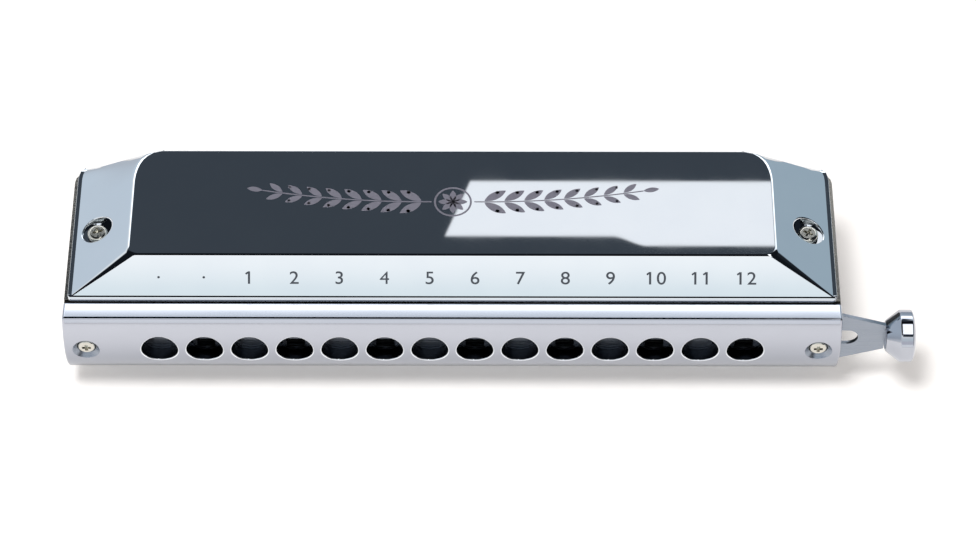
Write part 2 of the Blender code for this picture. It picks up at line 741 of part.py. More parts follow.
chrome = material("chrome", (0.80, 0.82, 0.85), 0.08, 1.0)
steel = material("steel", (0.62, 0.63, 0.65), 0.3, 1.0)
screw_steel = material("screw_steel", (0.70, 0.69, 0.67), 0.25, 1.0)
plated_brass = material("plated_brass", (0.74, 0.74, 0.75), 0.2, 1.0)
bronze = material("bronze", (0.72, 0.50, 0.27), 0.3, 1.0)
black_plastic = material("black_plastic", (0.02, 0.02, 0.022), 0.35, 0.0)
clear_plastic = material("clear_plastic", (0.85, 0.85, 0.82), 0.4, 0.0)
rubber = material("rubber", (0.05, 0.05, 0.05), 0.8, 0.0)

make_mouthpiece()
make_front_plate()
make_slide()
make_back_plate()
make_bumper("slide_bumper_left", -mouth_screw_x)
make_bumper("slide_bumper_right", mouth_screw_x)
make_button()
make_spring()
make_comb()
mirrored_below(make_reed_plate(), "reed_plate_lower")
mirrored_below(make_reeds("upper_outer_reeds", True), "lower_outer_reeds")
mirrored_below(make_reeds("upper_inner_reeds", False), "lower_inner_reeds")
mirrored_below(make_valves("upper_outer_valves", True), "lower_outer_valves")
mirrored_below(make_valves("upper_inner_valves", False), "lower_inner_valves")
mirrored_below(make_cover(), "cover_lower")
make_fasteners()
put_together()
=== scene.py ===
import math

import bmesh
import bpy
from mathutils import Euler, Matrix, Vector


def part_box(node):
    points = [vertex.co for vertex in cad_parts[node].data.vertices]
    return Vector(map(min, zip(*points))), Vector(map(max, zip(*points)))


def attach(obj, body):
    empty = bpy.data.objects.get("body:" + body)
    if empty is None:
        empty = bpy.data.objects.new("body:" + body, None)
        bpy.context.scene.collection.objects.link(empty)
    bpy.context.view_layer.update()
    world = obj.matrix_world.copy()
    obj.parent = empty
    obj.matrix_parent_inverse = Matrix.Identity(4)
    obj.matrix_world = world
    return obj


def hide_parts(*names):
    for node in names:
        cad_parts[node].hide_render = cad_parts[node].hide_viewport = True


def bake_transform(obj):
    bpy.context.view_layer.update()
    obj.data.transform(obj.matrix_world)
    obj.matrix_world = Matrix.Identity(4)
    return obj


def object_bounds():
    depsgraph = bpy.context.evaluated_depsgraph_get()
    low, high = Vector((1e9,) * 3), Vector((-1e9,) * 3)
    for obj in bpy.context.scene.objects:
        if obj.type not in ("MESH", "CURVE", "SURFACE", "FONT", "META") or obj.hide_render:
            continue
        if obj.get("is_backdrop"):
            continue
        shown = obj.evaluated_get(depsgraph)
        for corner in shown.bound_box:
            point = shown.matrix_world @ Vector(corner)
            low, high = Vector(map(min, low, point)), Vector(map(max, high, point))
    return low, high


# The dressed model of a chromatic harmonica: chromed covers and mouthpiece, a steel slide with its
# button, reed plates with their reeds and valves, and a black comb. Sizes are in millimetres and are
# measured as the maker does: x along the body to the button, y back from the mouthpiece's front,
# z up from the middle of the comb. mm turns them to metres.
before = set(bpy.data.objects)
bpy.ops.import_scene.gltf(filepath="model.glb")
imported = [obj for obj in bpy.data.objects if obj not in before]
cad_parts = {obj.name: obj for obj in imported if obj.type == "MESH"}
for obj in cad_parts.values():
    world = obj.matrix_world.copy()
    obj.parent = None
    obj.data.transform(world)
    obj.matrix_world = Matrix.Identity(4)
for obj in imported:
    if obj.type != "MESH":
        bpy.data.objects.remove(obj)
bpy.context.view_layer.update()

mm = 0.001
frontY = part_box("mouthpiece")[0].y / mm
middleZ = (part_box("comb")[0].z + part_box("comb")[1].z) / 2 / mm


def at(x, y, z):
    return Vector((x, y + frontY, z + middleZ)) * mm


# Selecting, shaping and finishing
def leaveEdit():
    bpy.ops.object.mode_set(mode="OBJECT")
    # Which end of a new edge comes first differs from run to run, and later cuts depend on it.
    for edge in bpy.context.object.data.edges:
        edge.vertices = sorted(edge.vertices)


def clearSelection():
    if bpy.context.mode != "OBJECT":
        leaveEdit()
    bpy.ops.object.select_all(action="DESELECT")


def activate(piece):
    clearSelection()
    piece.select_set(True)
    bpy.context.view_layer.objects.active = piece


# Opens a piece in edit mode with only what passes the test selected
def select(piece, kind, test):
    activate(piece)
    bpy.ops.object.mode_set(mode="EDIT")
    bpy.ops.mesh.select_mode(type=kind)
    bpy.ops.mesh.select_all(action="DESELECT")
    mesh = bmesh.from_edit_mesh(piece.data)
    for item in {"VERT": mesh.verts, "EDGE": mesh.edges, "FACE": mesh.faces}[kind]:
        if test(item):
            item.select_set(True)
    bmesh.update_edit_mesh(piece.data)


def selectAll(piece):
    activate(piece)
    bpy.ops.object.mode_set(mode="EDIT")
    bpy.ops.mesh.select_all(action="SELECT")


def named(name):
    piece = bpy.context.object
    piece.name = name
    piece.data.name = name
    bpy.ops.object.transform_apply(location=True, rotation=True, scale=True)
    return piece


def addBox(name, low, high):
    clearSelection()
    pairs = [sorted(pair) for pair in zip(at(*low), at(*high))]
    low, high = (Vector([pair[end] for pair in pairs]) for end in (0, 1))
    bpy.ops.mesh.primitive_cube_add(size=1, location=(low + high) / 2, scale=high - low)
    return named(name)


turns = {"X": (0, math.pi / 2, 0), "Y": (math.pi / 2, 0, 0), "Z": (0, 0, 0)}


def addCylinder(name, centre, radius, length, axis="Z", sides=48):
    clearSelection()
    bpy.ops.mesh.primitive_cylinder_add(vertices=sides, radius=radius * mm, depth=length * mm,
                                        location=at(*centre), rotation=turns[axis])
    return named(name)


def applyModifier(piece, kind, **settings):
    activate(piece)
    step = piece.modifiers.new(kind.lower(), kind)
    for key, value in settings.items():
        setattr(step, key, value)
    bpy.ops.object.modifier_apply(modifier=step.name)


def discard(*pieces):
    for piece in pieces:
        bpy.data.objects.remove(piece)


def combine(piece, other, operation="DIFFERENCE"):
    applyModifier(piece, "BOOLEAN", object=other, operation=operation, solver="EXACT")
    discard(other)


def joined(pieces, name):
    clearSelection()
    for piece in pieces:
        piece.select_set(True)
    bpy.context.view_layer.objects.active = pieces[0]
    if len(pieces) > 1:
        bpy.ops.object.join()
    pieces[0].name = name
    pieces[0].data.name = name
    return pieces[0]


# A copy, whose own middle at (0, 0, 0) goes to a place and is turned about it
def copied(piece, name, place=(0, 0, 0), turn=(0, 0, 0)):
    activate(piece)
    bpy.ops.object.duplicate()
    made = bpy.context.object
    turned = Euler(turn).to_matrix().to_4x4()
    made.matrix_world = Matrix.Translation(at(*place)) @ turned @ Matrix.Translation(-at(0, 0, 0))
    return named(name)


# Turns a piece over to the lower side, where its twin sits
def mirroredBelow(piece, name):
    made = copied(piece, name)
    selectAll(made)
    bpy.ops.transform.resize(value=(1, 1, -1), center_override=at(0, 0, 0))
    bpy.ops.mesh.flip_normals()
    leaveEdit()
    return made


def bisect(piece, point, normal, clear=True):
    selectAll(piece)
    bpy.ops.mesh.bisect(plane_co=at(*point), plane_no=normal, use_fill=clear, clear_outer=clear,
                        threshold=1e-7)
    leaveEdit()


# Draws the selected faces out by a step in millimetres, then scales the new ring about a centre.
# Blender numbers what it draws out differently from run to run, and later cuts depend on the numbers,
# so everything is numbered again by its place.
def extrude(step, size=None, centre=None):
    bpy.ops.mesh.extrude_region_move(TRANSFORM_OT_translate={"value": [c * mm for c in step]})
    if size:
        bpy.ops.transform.resize(value=size, center_override=at(*centre))
    mesh = bmesh.from_edit_mesh(bpy.context.object.data)
    along = Vector((1.0, 0.7182, 0.3819))
    mesh.verts.sort(key=lambda v: v.co.dot(along))
    mesh.verts.index_update()
    for items in (mesh.edges, mesh.faces):
        ends = {item: sorted(v.index for v in item.verts) for item in items}
        rank = {item: number for number, item in enumerate(sorted(items, key=ends.get))}
        items.sort(key=rank.get)
        items.index_update()
    bmesh.update_edit_mesh(bpy.context.object.data)


# Moves the points that pass the test by a step in millimetres
def move(piece, test, step):
    select(piece, "VERT", test)
    bpy.ops.transform.translate(value=[c * mm for c in step])
    leaveEdit()


# Scales the faces that pass the test about a centre
def scaleFaces(piece, test, size, centre):
    select(piece, "FACE", test)
    bpy.ops.transform.resize(value=size, center_override=at(*centre))
    leaveEdit()


def bevelEdges(piece, test, width, segments=3, clamp=True):
    select(piece, "EDGE", test)
    bpy.ops.mesh.bevel(offset=width * mm, segments=segments, profile=0.5, affect="EDGES", clamp_overlap=clamp)
    leaveEdit()


# How far an edge's two faces turn from each other, in degrees
def fold(edge):
    return math.degrees(edge.calc_face_angle()) if len(edge.link_faces) == 2 else 0


def cleaned(piece):
    selectAll(piece)
    bpy.ops.mesh.remove_doubles(threshold=1e-6)
    bpy.ops.mesh.dissolve_limited(angle_limit=math.radians(0.05))
    leaveEdit()


# Smooth over its folds, with the normals of its broad faces kept true so that they mirror flat
def shade(piece, angle=32):
    activate(piece)
    bpy.ops.object.shade_smooth_by_angle(angle=math.radians(angle))
    applyModifier(piece, "WEIGHTED_NORMAL", mode="FACE_AREA", weight=100, keep_sharp=True)


# Rounds the sharp edges by a width in millimetres, and shades the piece
def softened(piece, width):
    applyModifier(piece, "BEVEL", width=width * mm, segments=2, limit_method="ANGLE",
                  angle_limit=math.radians(40), use_clamp_overlap=True)
    shade(piece)
    return piece


# Gives a finished piece its material, unless it has its own, says what it rides on and hides the CAD nodes it
# stands for
def finish(piece, material, body="body", stands=()):
    if material:
        piece.data.materials.clear()
        piece.data.materials.append(material)
    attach(piece, body)
    if stands:
        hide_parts(*stands)


# Materials
def colour(code):
    parts = [int(code[i:i + 2], 16) / 255 for i in (1, 3, 5)]
    return (*[c / 12.92 if c <= 0.04045 else ((c + 0.055) / 1.055) ** 2.4 for c in parts], 1.0)


# Adds a node, fills or links its inputs and makes its settings
def addNode(tree, kind, inputs=None, **settings):
    node = tree.nodes.new(kind)
    for key, value in settings.items():
        setattr(node, key, value)
    for key, value in (inputs or {}).items():
        if isinstance(value, bpy.types.NodeSocket):
            tree.links.new(value, node.inputs[key])
        else:
            node.inputs[key].default_value = value
    return node


# The noise behind every finish: its detail, the part of its range in use and the strength of its relief
grainSize = {"detail": 3.0, "low": 0.3, "high": 0.7, "strength": 0.5}


# A finish whose tone, roughness and relief follow one grain; the grain's size on each axis is in mm.
# It can fade to another tone between two heights: a painted shade.
def makeFinish(name, size, tones, roughness, relief=0.0, paintedShade=None, **sockets):
    g = grainSize
    made = bpy.data.materials.new(name)
    made.use_nodes = True
    tree = made.node_tree
    shader = tree.nodes["Principled BSDF"]
    for key, value in sockets.items():
        shader.inputs[key.replace("_", " ")].default_value = value
    place = addNode(tree, "ShaderNodeTexCoord").outputs["Object"]
    scaled = addNode(tree, "ShaderNodeMapping", {"Vector": place, "Scale": [1 / (s * mm) for s in size]})
    grain = addNode(tree, "ShaderNodeTexNoise", {
        "Vector": scaled.outputs[0], "Scale": 1.0, "Detail": g["detail"]}).outputs["Fac"]
    rough = addNode(tree, "ShaderNodeMapRange", {
        "Value": grain, "From Min": g["low"], "From Max": g["high"],
        "To Min": roughness[0], "To Max": roughness[1]})
    tree.links.new(rough.outputs["Result"], shader.inputs["Roughness"])
    tone = addNode(tree, "ShaderNodeMix", {0: grain, 6: colour(tones[0]), 7: colour(tones[1])},
                   data_type="RGBA")
    if paintedShade:
        low, high, end = paintedShade
        height = addNode(tree, "ShaderNodeSeparateXYZ", {0: place}).outputs["Z"]
        share = addNode(tree, "ShaderNodeMapRange", {
            "Value": height, "From Min": at(0, 0, low).z, "From Max": at(0, 0, high).z},
            interpolation_type="SMOOTHSTEP")
        tone = addNode(tree, "ShaderNodeMix", {0: share.outputs[0], 6: colour(end), 7: tone.outputs[2]},
                       data_type="RGBA")
    tree.links.new(tone.outputs[2], shader.inputs["Base Color"])
    if relief:
        bump = addNode(tree, "ShaderNodeBump", {
            "Height": grain, "Distance": relief * mm, "Strength": g["strength"]})
        tree.links.new(bump.outputs["Normal"], shader.inputs["Normal"])
    return made


# Mirror chrome over polished steel: crisp reflections, with the faintest haze of handling
chrome = makeFinish("polished chrome", (9, 9, 9), ("#DBE0E6", "#E3E7EB"), (0.008, 0.014), Metallic=1.0)
# Silver plating: softer than chrome and a little darker, with a cool cast; its darker bottom is painted shade
silverPlate = makeFinish("silver plate", (14, 5, 5), ("#B4B8C2", "#BBBFC9"), (0.06, 0.1), Metallic=1.0,
                         paintedShade=(-9, 6, "#8F939C"))
# Plated button: as the mouthpiece, without the painted shade
buttonPlate = makeFinish("plated button", (3, 3, 3), ("#AEB2BB", "#B9BDC6"), (0.03, 0.06), Metallic=1.0)
# Inside the holes: dark, with a dull shine; the dark tone is painted shade for the shade inside the bores
shadedBoreMetal = makeFinish("bore in painted shade", (1, 4, 1), ("#2E3136", "#3F434A"), (0.16, 0.24), Metallic=1.0)
# Stainless strip brushed along its length: fine streaks that pull the highlight out
brushedSteel = makeFinish("brushed stainless steel", (14, 0.12, 0.12), ("#89919D", "#9FA6B0"),
                          (0.24, 0.38), 0.01, Metallic=1.0)
# The housing's inner plates: the same strip, dulled, and dark as painted shade for the shade inside the
# mouthpiece
shadedHousingSteel = makeFinish("housing steel in painted shade", (6, 0.2, 0.2), ("#4E535B", "#646A73"),
                       (0.3, 0.42), 0.01, Metallic=1.0)
# Nickel over rolled brass: smooth and a little warm, with the mill's faint lines
nickelPlate = makeFinish("nickel-plated brass", (20, 0.4, 0.4), ("#B9B4AC", "#C6C2BA"),
                         (0.09, 0.15), Metallic=1.0)
# Nickel over turned steel: bright screw heads with a warm cast in the cross
nickelSteel = makeFinish("nickel-plated screw steel", (0.5, 0.5, 0.5), ("#C4C2B9", "#D3D1C9"), (0.10, 0.2),
                         Metallic=1.0)
# Etching through the chrome: matt and violet-grey, with fine hatching (coarser than real, so that it shows)
etchedChrome = makeFinish("etched satin chrome", (6, 0.22, 6), ("#85818B", "#A19DA8"), (0.42, 0.6), 0.012,
                          Metallic=1.0)
# Phosphor bronze strip, milled along its length: a warm, soft shine
bronze = makeFinish("phosphor bronze", (0.2, 6, 0.2), ("#B5834A", "#CB9A60"),
                    (0.22, 0.34), 0.006, Metallic=1.0)
# Turned brass rivets: yellow and bright
brass = makeFinish("turned brass", (0.4, 0.4, 0.4), ("#C9A45C", "#DDBB77"), (0.16, 0.26), Metallic=1.0)
# Spring steel wire, drawn: grey and faintly scored
springSteel = makeFinish("drawn spring steel", (0.3, 2, 0.3), ("#8D9199", "#A3A7AE"),
                         (0.2, 0.32), Metallic=1.0)
# Polyester valve film: thin and milky, lets some light through
valveFilm = makeFinish("polyester valve film", (0.8, 3, 0.8), ("#DDD8CC", "#EDE9DF"), (0.3, 0.45), 0.01,
                       IOR=1.57, Transmission_Weight=0.5)
# Nitrile rubber: dull black with a fine grain
rubber = makeFinish("nitrile rubber", (0.2, 0.2, 0.2), ("#1B1B1C", "#262627"), (0.65, 0.8), 0.02, IOR=1.52)
# Moulded ABS: black, with a soft sheen over a fine eroded texture
blackAbs = makeFinish("moulded black ABS", (0.25, 0.25, 0.25), ("#15171A", "#1D2023"),
                      (0.38, 0.52), 0.02, IOR=1.53)
# Screen-printed ink: matt, with a slightly uneven tone
ink = makeFinish("screen-printed ink", (0.3, 0.3, 0.3), ("#353A42", "#454B53"), (0.42, 0.6), IOR=1.5)
print("materials made")

# Holes along the body, shared by the mouthpiece, the slide, the printed numbers and the reeds
holes = {"count": 14, "pitch": 9.2, "radius": 3.7}
holeXs = [(i - (holes["count"] - 1) / 2) * holes["pitch"] for i in range(holes["count"])]
bodyHalf = 79.3               # from the middle of the body to its end

mouthpieceSize = {
    "height": 16.0, "depth": 6.45, "frontCurve": 16.0, "web": 3.2, "lip": 0.8,
    "edge": 0.8, "endCorner": 0.6, "crown": ((4.2, 0.09), (6.45, 0.245)),
    "rim": 0.3, "rimAngles": (0, 25, 50, 72),
    "screwX": 74.8, "seatRadius": 1.95, "seatCone": 0.9, "seatWider": 0.85, "seatDepth": 1.7, "shank": 1.05,
}


# Its material slots: the outside, the bores in painted shade, the rims of the holes with a painted highlight
# and the seats of the screws
mouthpieceFinishes = (silverPlate, shadedBoreMetal, chrome, brushedSteel)
boreSlot, rimSlot, seatSlot = 1, 2, 3


# How far the rounded front lies behind its foremost line, at a height
def frontAt(z):
    curve = mouthpieceSize["frontCurve"]
    return curve - math.sqrt(max(curve ** 2 - z ** 2, 0))


# A plug that bores a hole into the curved front. Its mouth widens by steps of how much wider and how deep.
def mouthPlug(name, x, radius, depth, mouth, mouthSlot):
    start = mouth[0][1]
    plug = addCylinder(name, (x, (start + depth) / 2, 0), radius, depth - start, "Y", 64)
    for material in mouthpieceFinishes:
        plug.data.materials.append(material)
    select(plug, "FACE", lambda f: f.normal.y < -0.9)
    ring, reach = radius, start
    for wider, step in mouth[1:] + [(mouth[-1][0], -2)]:
        size = (radius + wider) / ring
        extrude((0, step - reach, 0), (size, 1, size), (x, 0, 0))
        ring, reach = radius + wider, step
    leaveEdit()
    for face in plug.data.polygons:
        face.material_index = boreSlot if face.center.y > at(0, start, 0).y - 1e-6 else mouthSlot
    # The mouth follows the curve of the front.
    for v in plug.data.vertices:
        if at(0, -1, 0).y < v.co.y < at(0, start * 1.01, 0).y:
            v.co.y += frontAt(v.co.z / mm - middleZ) * mm
    return plug


# The bar is a slice of a round rod: flat above, below and behind, and round in front
def makeMouthpiece():
    s = mouthpieceSize
    half = s["height"] / 2
    bar = addCylinder("mouthpiece_bar", (0, s["frontCurve"], 0), s["frontCurve"], 2 * bodyHalf, "X", 288)
    bisect(bar, (0, 0, half), (0, 0, 1))
    bisect(bar, (0, 0, -half), (0, 0, -1))
    bisect(bar, (0, s["depth"], 0), (0, 1, 0))
    # Above and below, the bar falls away a little towards the covers.
    for y, fall in s["crown"]:
        bisect(bar, (0, y, 0), (0, 1, 0), clear=False)
        for side in (1, -1):
            line = at(0, y, side * half)
            move(bar, lambda v: (v.co.yz - line.yz).length < 1e-6, (0, 0, -side * fall))

    def onLine(edge, y):
        a, b = (v.co for v in edge.verts)
        level = abs(abs(a.z - middleZ * mm) - half * mm) < 1e-6
        return abs(a.x - b.x) > 0.1 and level and abs(a.y - at(0, y, 0).y) < 2e-5

    bevelEdges(bar, lambda e: onLine(e, frontAt(half)), s["edge"], 8)
    cleaned(bar)
    atEnd = lambda v: abs(abs(v.co.x) - bodyHalf * mm) < 1e-6
    bevelEdges(bar, lambda e: fold(e) > 60 and all(atEnd(v) for v in e.verts), s["endCorner"], 4)
    channel = half - s["lip"]
    combine(bar, addBox("channel", (-bodyHalf - 1, s["web"], -channel),
                        (bodyHalf + 1, s["depth"] + 1, channel)))
    for material in mouthpieceFinishes:
        bar.data.materials.append(material)
    # Holes have a bright rim rounded along a quarter circle, in the brighter chrome as a painted highlight;
    # screw seats have a cone as the drill left it.
    angles = [math.radians(a) for a in s["rimAngles"]]
    rim = [(s["rim"] * (1 - math.cos(a)), s["rim"] * (1 - math.sin(a))) for a in angles]
    rim.append((2 * s["rim"], -s["rim"] / 3))
    cone = [(0, s["seatCone"]), (s["seatWider"], 0), (1.5 * s["seatWider"], -s["seatCone"] / 2)]
    plugs = [mouthPlug("hole_plug", x, holes["radius"], s["web"] + 1, rim, rimSlot) for x in holeXs]
    screwXs = (-s["screwX"], s["screwX"])
    plugs += [mouthPlug("seat_plug", x, s["seatRadius"], s["seatDepth"], cone, seatSlot) for x in screwXs]
    combine(bar, joined(plugs, "mouthpiece_plugs"))
    shanks = [addCylinder("shank_bore", (x, 2, 0), s["shank"], 6, "Y") for x in screwXs]
    combine(bar, joined(shanks, "shank_bores"))
    return bar


mouthpiece = makeMouthpiece()
shade(mouthpiece)
finish(mouthpiece, None, stands=["mouthpiece"])
print("mouthpiece made")

coverSize = {
    "half": 78.4, "front": 6.65, "back": 41.3, "base": 7.65, "step": 8.75, "top": 14.63, "sheet": 0.5,
    "frontRound": 0.9, "frontFoot": 0.68, "sideFoot": 0.85, "sideRound": 0.12,
    "roundAngles": (0, 18, 34, 44, 52, 58, 64, 70, 74, 76), "backCorner": (1.3, 3.2),
    "skirtCorner": 0.9, "footCorner": 0.35, "topCorner": 2.0, "cornerSteps": 8,
    "frontRun": 6.85, "sideRun": 12.2, "bulge": 0.08, "facetSteps": 5, "fillet": 0.047, "filletSteps": 5,
    "drawRun": 4.7, "drawLength": 8.3, "drawRows": 7, "backRound": 0.3, "lip": 1.2,
    "cupX": 73.2, "cupY": 22.9, "cupRadius": 3.1, "cupFloor": 8.9, "cupRim": 0.3,
    "cupRimAngles": (18, 36, 54, 75), "bolt": 1.05,
}


# The form's rings, from the rim up: how far in from the front and from the sides, height, how far the
# back corners draw in, and the front corners' radius. A wall inside the outer form, they give the inner one.
def coverRings(wall):
    s = coverSize
    rise = s["top"] - s["step"]
    frontFold = math.atan2(rise, s["frontRun"] - s["frontFoot"]) / 2
    sideFold = math.atan2(rise, s["sideRun"] - s["sideFoot"]) / 2
    step = s["step"] - wall
    corner = s["skirtCorner"] - wall
    if wall:
        rings = [(wall, wall, s["base"] - 1, 0, corner), (wall, wall, step, 0, corner)]
    else:
        rings = [(0, 0, s["base"], 0, corner)]
        # The lip is round in front; at the sides it is flat behind a small round.
        for a in map(math.radians, s["roundAngles"]):
            inset = s["frontRound"] * (1 - math.cos(a))
            below = s["frontRound"] * (math.sin(math.radians(s["roundAngles"][-1])) - math.sin(a))
            turned = max(0, 1 - below / s["sideRound"])
            aside = s["sideRound"] * (1 - math.sqrt(1 - turned ** 2)) if below > 1e-6 else s["sideFoot"]
            rings.append((inset, aside, step - below, 0, max(corner - inset, s["footCorner"])))
    below = 1 - s["fillet"]
    path = [(below * i / s["facetSteps"], below * i / s["facetSteps"]) for i in range(s["facetSteps"])]
    for i in range(s["filletSteps"] + 1):
        u = i / s["filletSteps"]
        climb = (1 - u) ** 2 * below + 2 * u * (1 - u) + u ** 2
        path.append((climb + u ** 2 * s["fillet"], climb))
    for t, climb in path if wall else path[1:]:
        out = s["bulge"] * 4 * t * max(0, 1 - t)
        corner = s["footCorner"] + (s["topCorner"] - s["footCorner"]) * t
        front = s["frontFoot"] + wall * math.tan(frontFold) + (s["frontRun"] - s["frontFoot"]) * t - out
        side = s["sideFoot"] + wall * math.tan(sideFold) + (s["sideRun"] - s["sideFoot"]) * t
        rings.append((front, side, step + rise * climb, s["drawRun"] * t, corner))
    return rings


# The footprint is drawn up ring by ring: skirt, step and facets to the flat
def makeCoverForm(wall):
    s = coverSize
    rings = coverRings(wall)
    front, back = s["front"] + rings[0][0], s["back"] - wall
    clearSelection()
    bpy.ops.mesh.primitive_plane_add(size=1, location=at(0, (front + back) / 2, rings[0][2]))
    form = bpy.context.object
    form.scale = (2 * (s["half"] - rings[0][1]) * mm, (back - front) * mm, 1)
    form = named("cover_form")
    select(form, "VERT", lambda v: v.co.y < at(0, front + 1, 0).y)
    bpy.ops.mesh.bevel(offset=rings[0][4] * mm, segments=s["cornerSteps"], affect="VERTICES")
    leaveEdit()
    # Rows across the back, where the corners draw in on the way up
    drawn = s["drawLength"] / (s["back"] - s["front"] - s["frontRun"])
    for row in range(s["drawRows"]):
        a = math.radians(76) * row / s["drawRows"]
        bisect(form, (0, back - (back - front) * drawn * (1 - math.sin(a)), 0), (0, 1, 0), clear=False)
    backLine, zeroLine = at(0, back, 0).y, at(0, 0, 0).y

    # How far a back corner is rounded inwards, at a distance from the back
    def cornered(distance):
        share = distance / s["backCorner"][1]
        return s["backCorner"][0] * (1 - math.sqrt(1 - (1 - share) ** 2)) if 0 <= share < 1 else 0

    for v in form.data.vertices:
        v.co.x -= math.copysign(cornered(max(0, (backLine - v.co.y) / mm)), v.co.x) * mm
    selectAll(form)
    last = rings[0]
    for ring in rings[1:]:
        extrude((0, 0, ring[2] - last[2]))
        mesh = bmesh.from_edit_mesh(form.data)
        lastDepth, depth = (back - s["front"] - r[0] for r in (last, ring))
        lastHalf, half = (s["half"] - r[1] for r in (last, ring))
        for v in (v for v in mesh.verts if v.select):
            side, across, along = math.copysign(1, v.co.x), abs(v.co.x) / mm, (v.co.y - zeroLine) / mm
            inX, inY = across - (lastHalf - last[4]), s["front"] + last[0] + last[4] - along
            if inX > -1e-4 and inY > -1e-4:
                # A front corner turns about its new middle.
                a = math.atan2(inY, inX)
                v.co.x = side * (half - ring[4] * (1 - math.cos(a))) * mm
                v.co.y = zeroLine + (s["front"] + ring[0] + ring[4] * (1 - math.sin(a))) * mm
                continue
            # A back corner is undone and drawn in again on the new ring.
            distance = max(0, back - along)
            behind = distance / lastDepth / drawn
            turn = 1 - math.sqrt(1 - (1 - behind) ** 2) if behind < 1 else 0
            square = (across + last[3] * turn + cornered(distance)) * half / lastHalf
            distance *= depth / lastDepth
            v.co.x = side * (square - ring[3] * turn - cornered(distance)) * mm
            v.co.y = backLine - distance * mm
        bmesh.update_edit_mesh(form.data)
        last = ring
    bpy.ops.mesh.select_all(action="SELECT")
    bpy.ops.mesh.normals_make_consistent(inside=False)
    leaveEdit()
    cleaned(form)
    return form


# What a screw cup takes out: straight walls, then a rounded rim that follows the facet
def cupPlug(x, slope, surface):
    s = coverSize
    low, high = s["cupFloor"], surface - s["cupRim"]
    plug = addCylinder("cup_plug", (x, s["cupY"], (low + high) / 2), s["cupRadius"], high - low, sides=96)
    select(plug, "FACE", lambda f: f.normal.z > 0.9)
    ring, reach = s["cupRadius"], -s["cupRim"]
    angles = [math.radians(a) for a in s["cupRimAngles"]]
    profile = [(1 - math.cos(a), math.sin(a) - 1) for a in angles] + [(2, 0.3), (2, 9)]
    for wider, step in profile:
        wider, step = s["cupRadius"] + wider * s["cupRim"], step * s["cupRim"]
        size = wider / ring
        extrude((0, 0, step - reach), (size, size, 1), (x, s["cupY"], 0))
        ring, reach = wider, step
    leaveEdit()
    for v in plug.data.vertices:
        if v.co.z > at(0, 0, low + 0.01).z:
            v.co.z -= (abs(v.co.x) - abs(x) * mm) * math.tan(slope)
    return plug


def makeCover():
    s = coverSize
    sheet = makeCoverForm(0)
    backLine, rim = at(0, s["back"], 0).y - 1e-6, at(0, 0, s["base"] + 0.01).z
    bevelEdges(sheet, lambda e: all(v.co.y > backLine for v in e.verts) and any(v.co.z > rim for v in e.verts)
               and fold(e) > 60, s["backRound"], 5, clamp=False)
    combine(sheet, makeCoverForm(s["sheet"]))
    slope = math.atan2(s["top"] - s["step"], s["sideRun"] - s["sideFoot"])
    surface = s["step"] + (s["half"] - s["sideFoot"] - s["cupX"]) * math.tan(slope)
    for side in (1, -1):
        x, low = side * s["cupX"], s["cupFloor"] - s["sheet"]
        cup = addCylinder("cup", (x, s["cupY"], low + 4), s["cupRadius"] + s["sheet"], 8, sides=96)
        bisect(cup, (x, s["cupY"], surface - s["sheet"] / 2), (side * math.sin(slope), 0, math.cos(slope)))
        combine(sheet, cup, "UNION")
        combine(sheet, cupPlug(x, slope, surface))
        combine(sheet, addCylinder("bolt_hole", (x, s["cupY"], s["cupFloor"]), s["bolt"], 3))
    # The back is open below a lip that follows the folds.
    y, z = s["back"] - s["sheet"] - 1, s["top"] - s["lip"]
    topHalf = s["half"] - s["sideRun"] - s["drawRun"]
    opening = addBox("opening", (-s["half"] + 2 * s["lip"], y, 0),
                     (s["half"] - 2 * s["lip"], s["back"] + 1, z))
    drawn = (topHalf - 0.2 * s["lip"]) / (s["half"] - 2 * s["lip"])
    scaleFaces(opening, lambda f: f.normal.z > 0.9, (drawn, 1, 1), (0, y, z))
    combine(sheet, opening)
    return sheet


coverUpper = makeCover()
coverLower = mirroredBelow(coverUpper, "lower_cover_sheet")
coverUpper.name = "upper_cover_sheet"
for cover, node in ((coverUpper, "cover_upper"), (coverLower, "cover_lower")):
    shade(cover, 22)
    finish(cover, chrome, stands=[node])
print("covers made")

numberSize = {"height": 2.65, "wider": 1.13, "bolder": 0.018, "step": 2.3, "share": 0.42, "above": 0.012,
              "thick": 0.01, "flag": (0.7, 0.36)}


# One character, flat on (0, 0, 0); the font's plain 1 gets its flag
def makeMark(character):
    s = numberSize
    clearSelection()
    bpy.ops.object.text_add(location=at(0, 0, 0))
    text = bpy.context.object.data
    text.body = character
    text.align_x = "CENTER"
    text.align_y = "CENTER" if character != "." else "BOTTOM_BASELINE"
    text.size = s["height"] / 0.72 * mm
    text.extrude = s["thick"] * mm
    # Moving the outline of the 4 out would fill its counter.
    text.offset = s["bolder"] * mm if character != "4" else 0
    bpy.context.object.scale.x = s["wider"]
    bpy.ops.object.convert(target="MESH")
    mark = named("mark")
    if character == "1":
        length, thick = s["flag"]
        left, top = min(v.co.x for v in mark.data.vertices), max(v.co.y for v in mark.data.vertices)
        flag = addBox("flag", (-length, -thick, -s["thick"]), (0.1, 0, 0.9 * s["thick"]))
        corner = (left / mm, top / mm - frontY, 0)
        mark = joined([mark, copied(flag, "flag", corner, (0, 0, math.radians(35)))], "mark")
        discard(flag)
    return mark


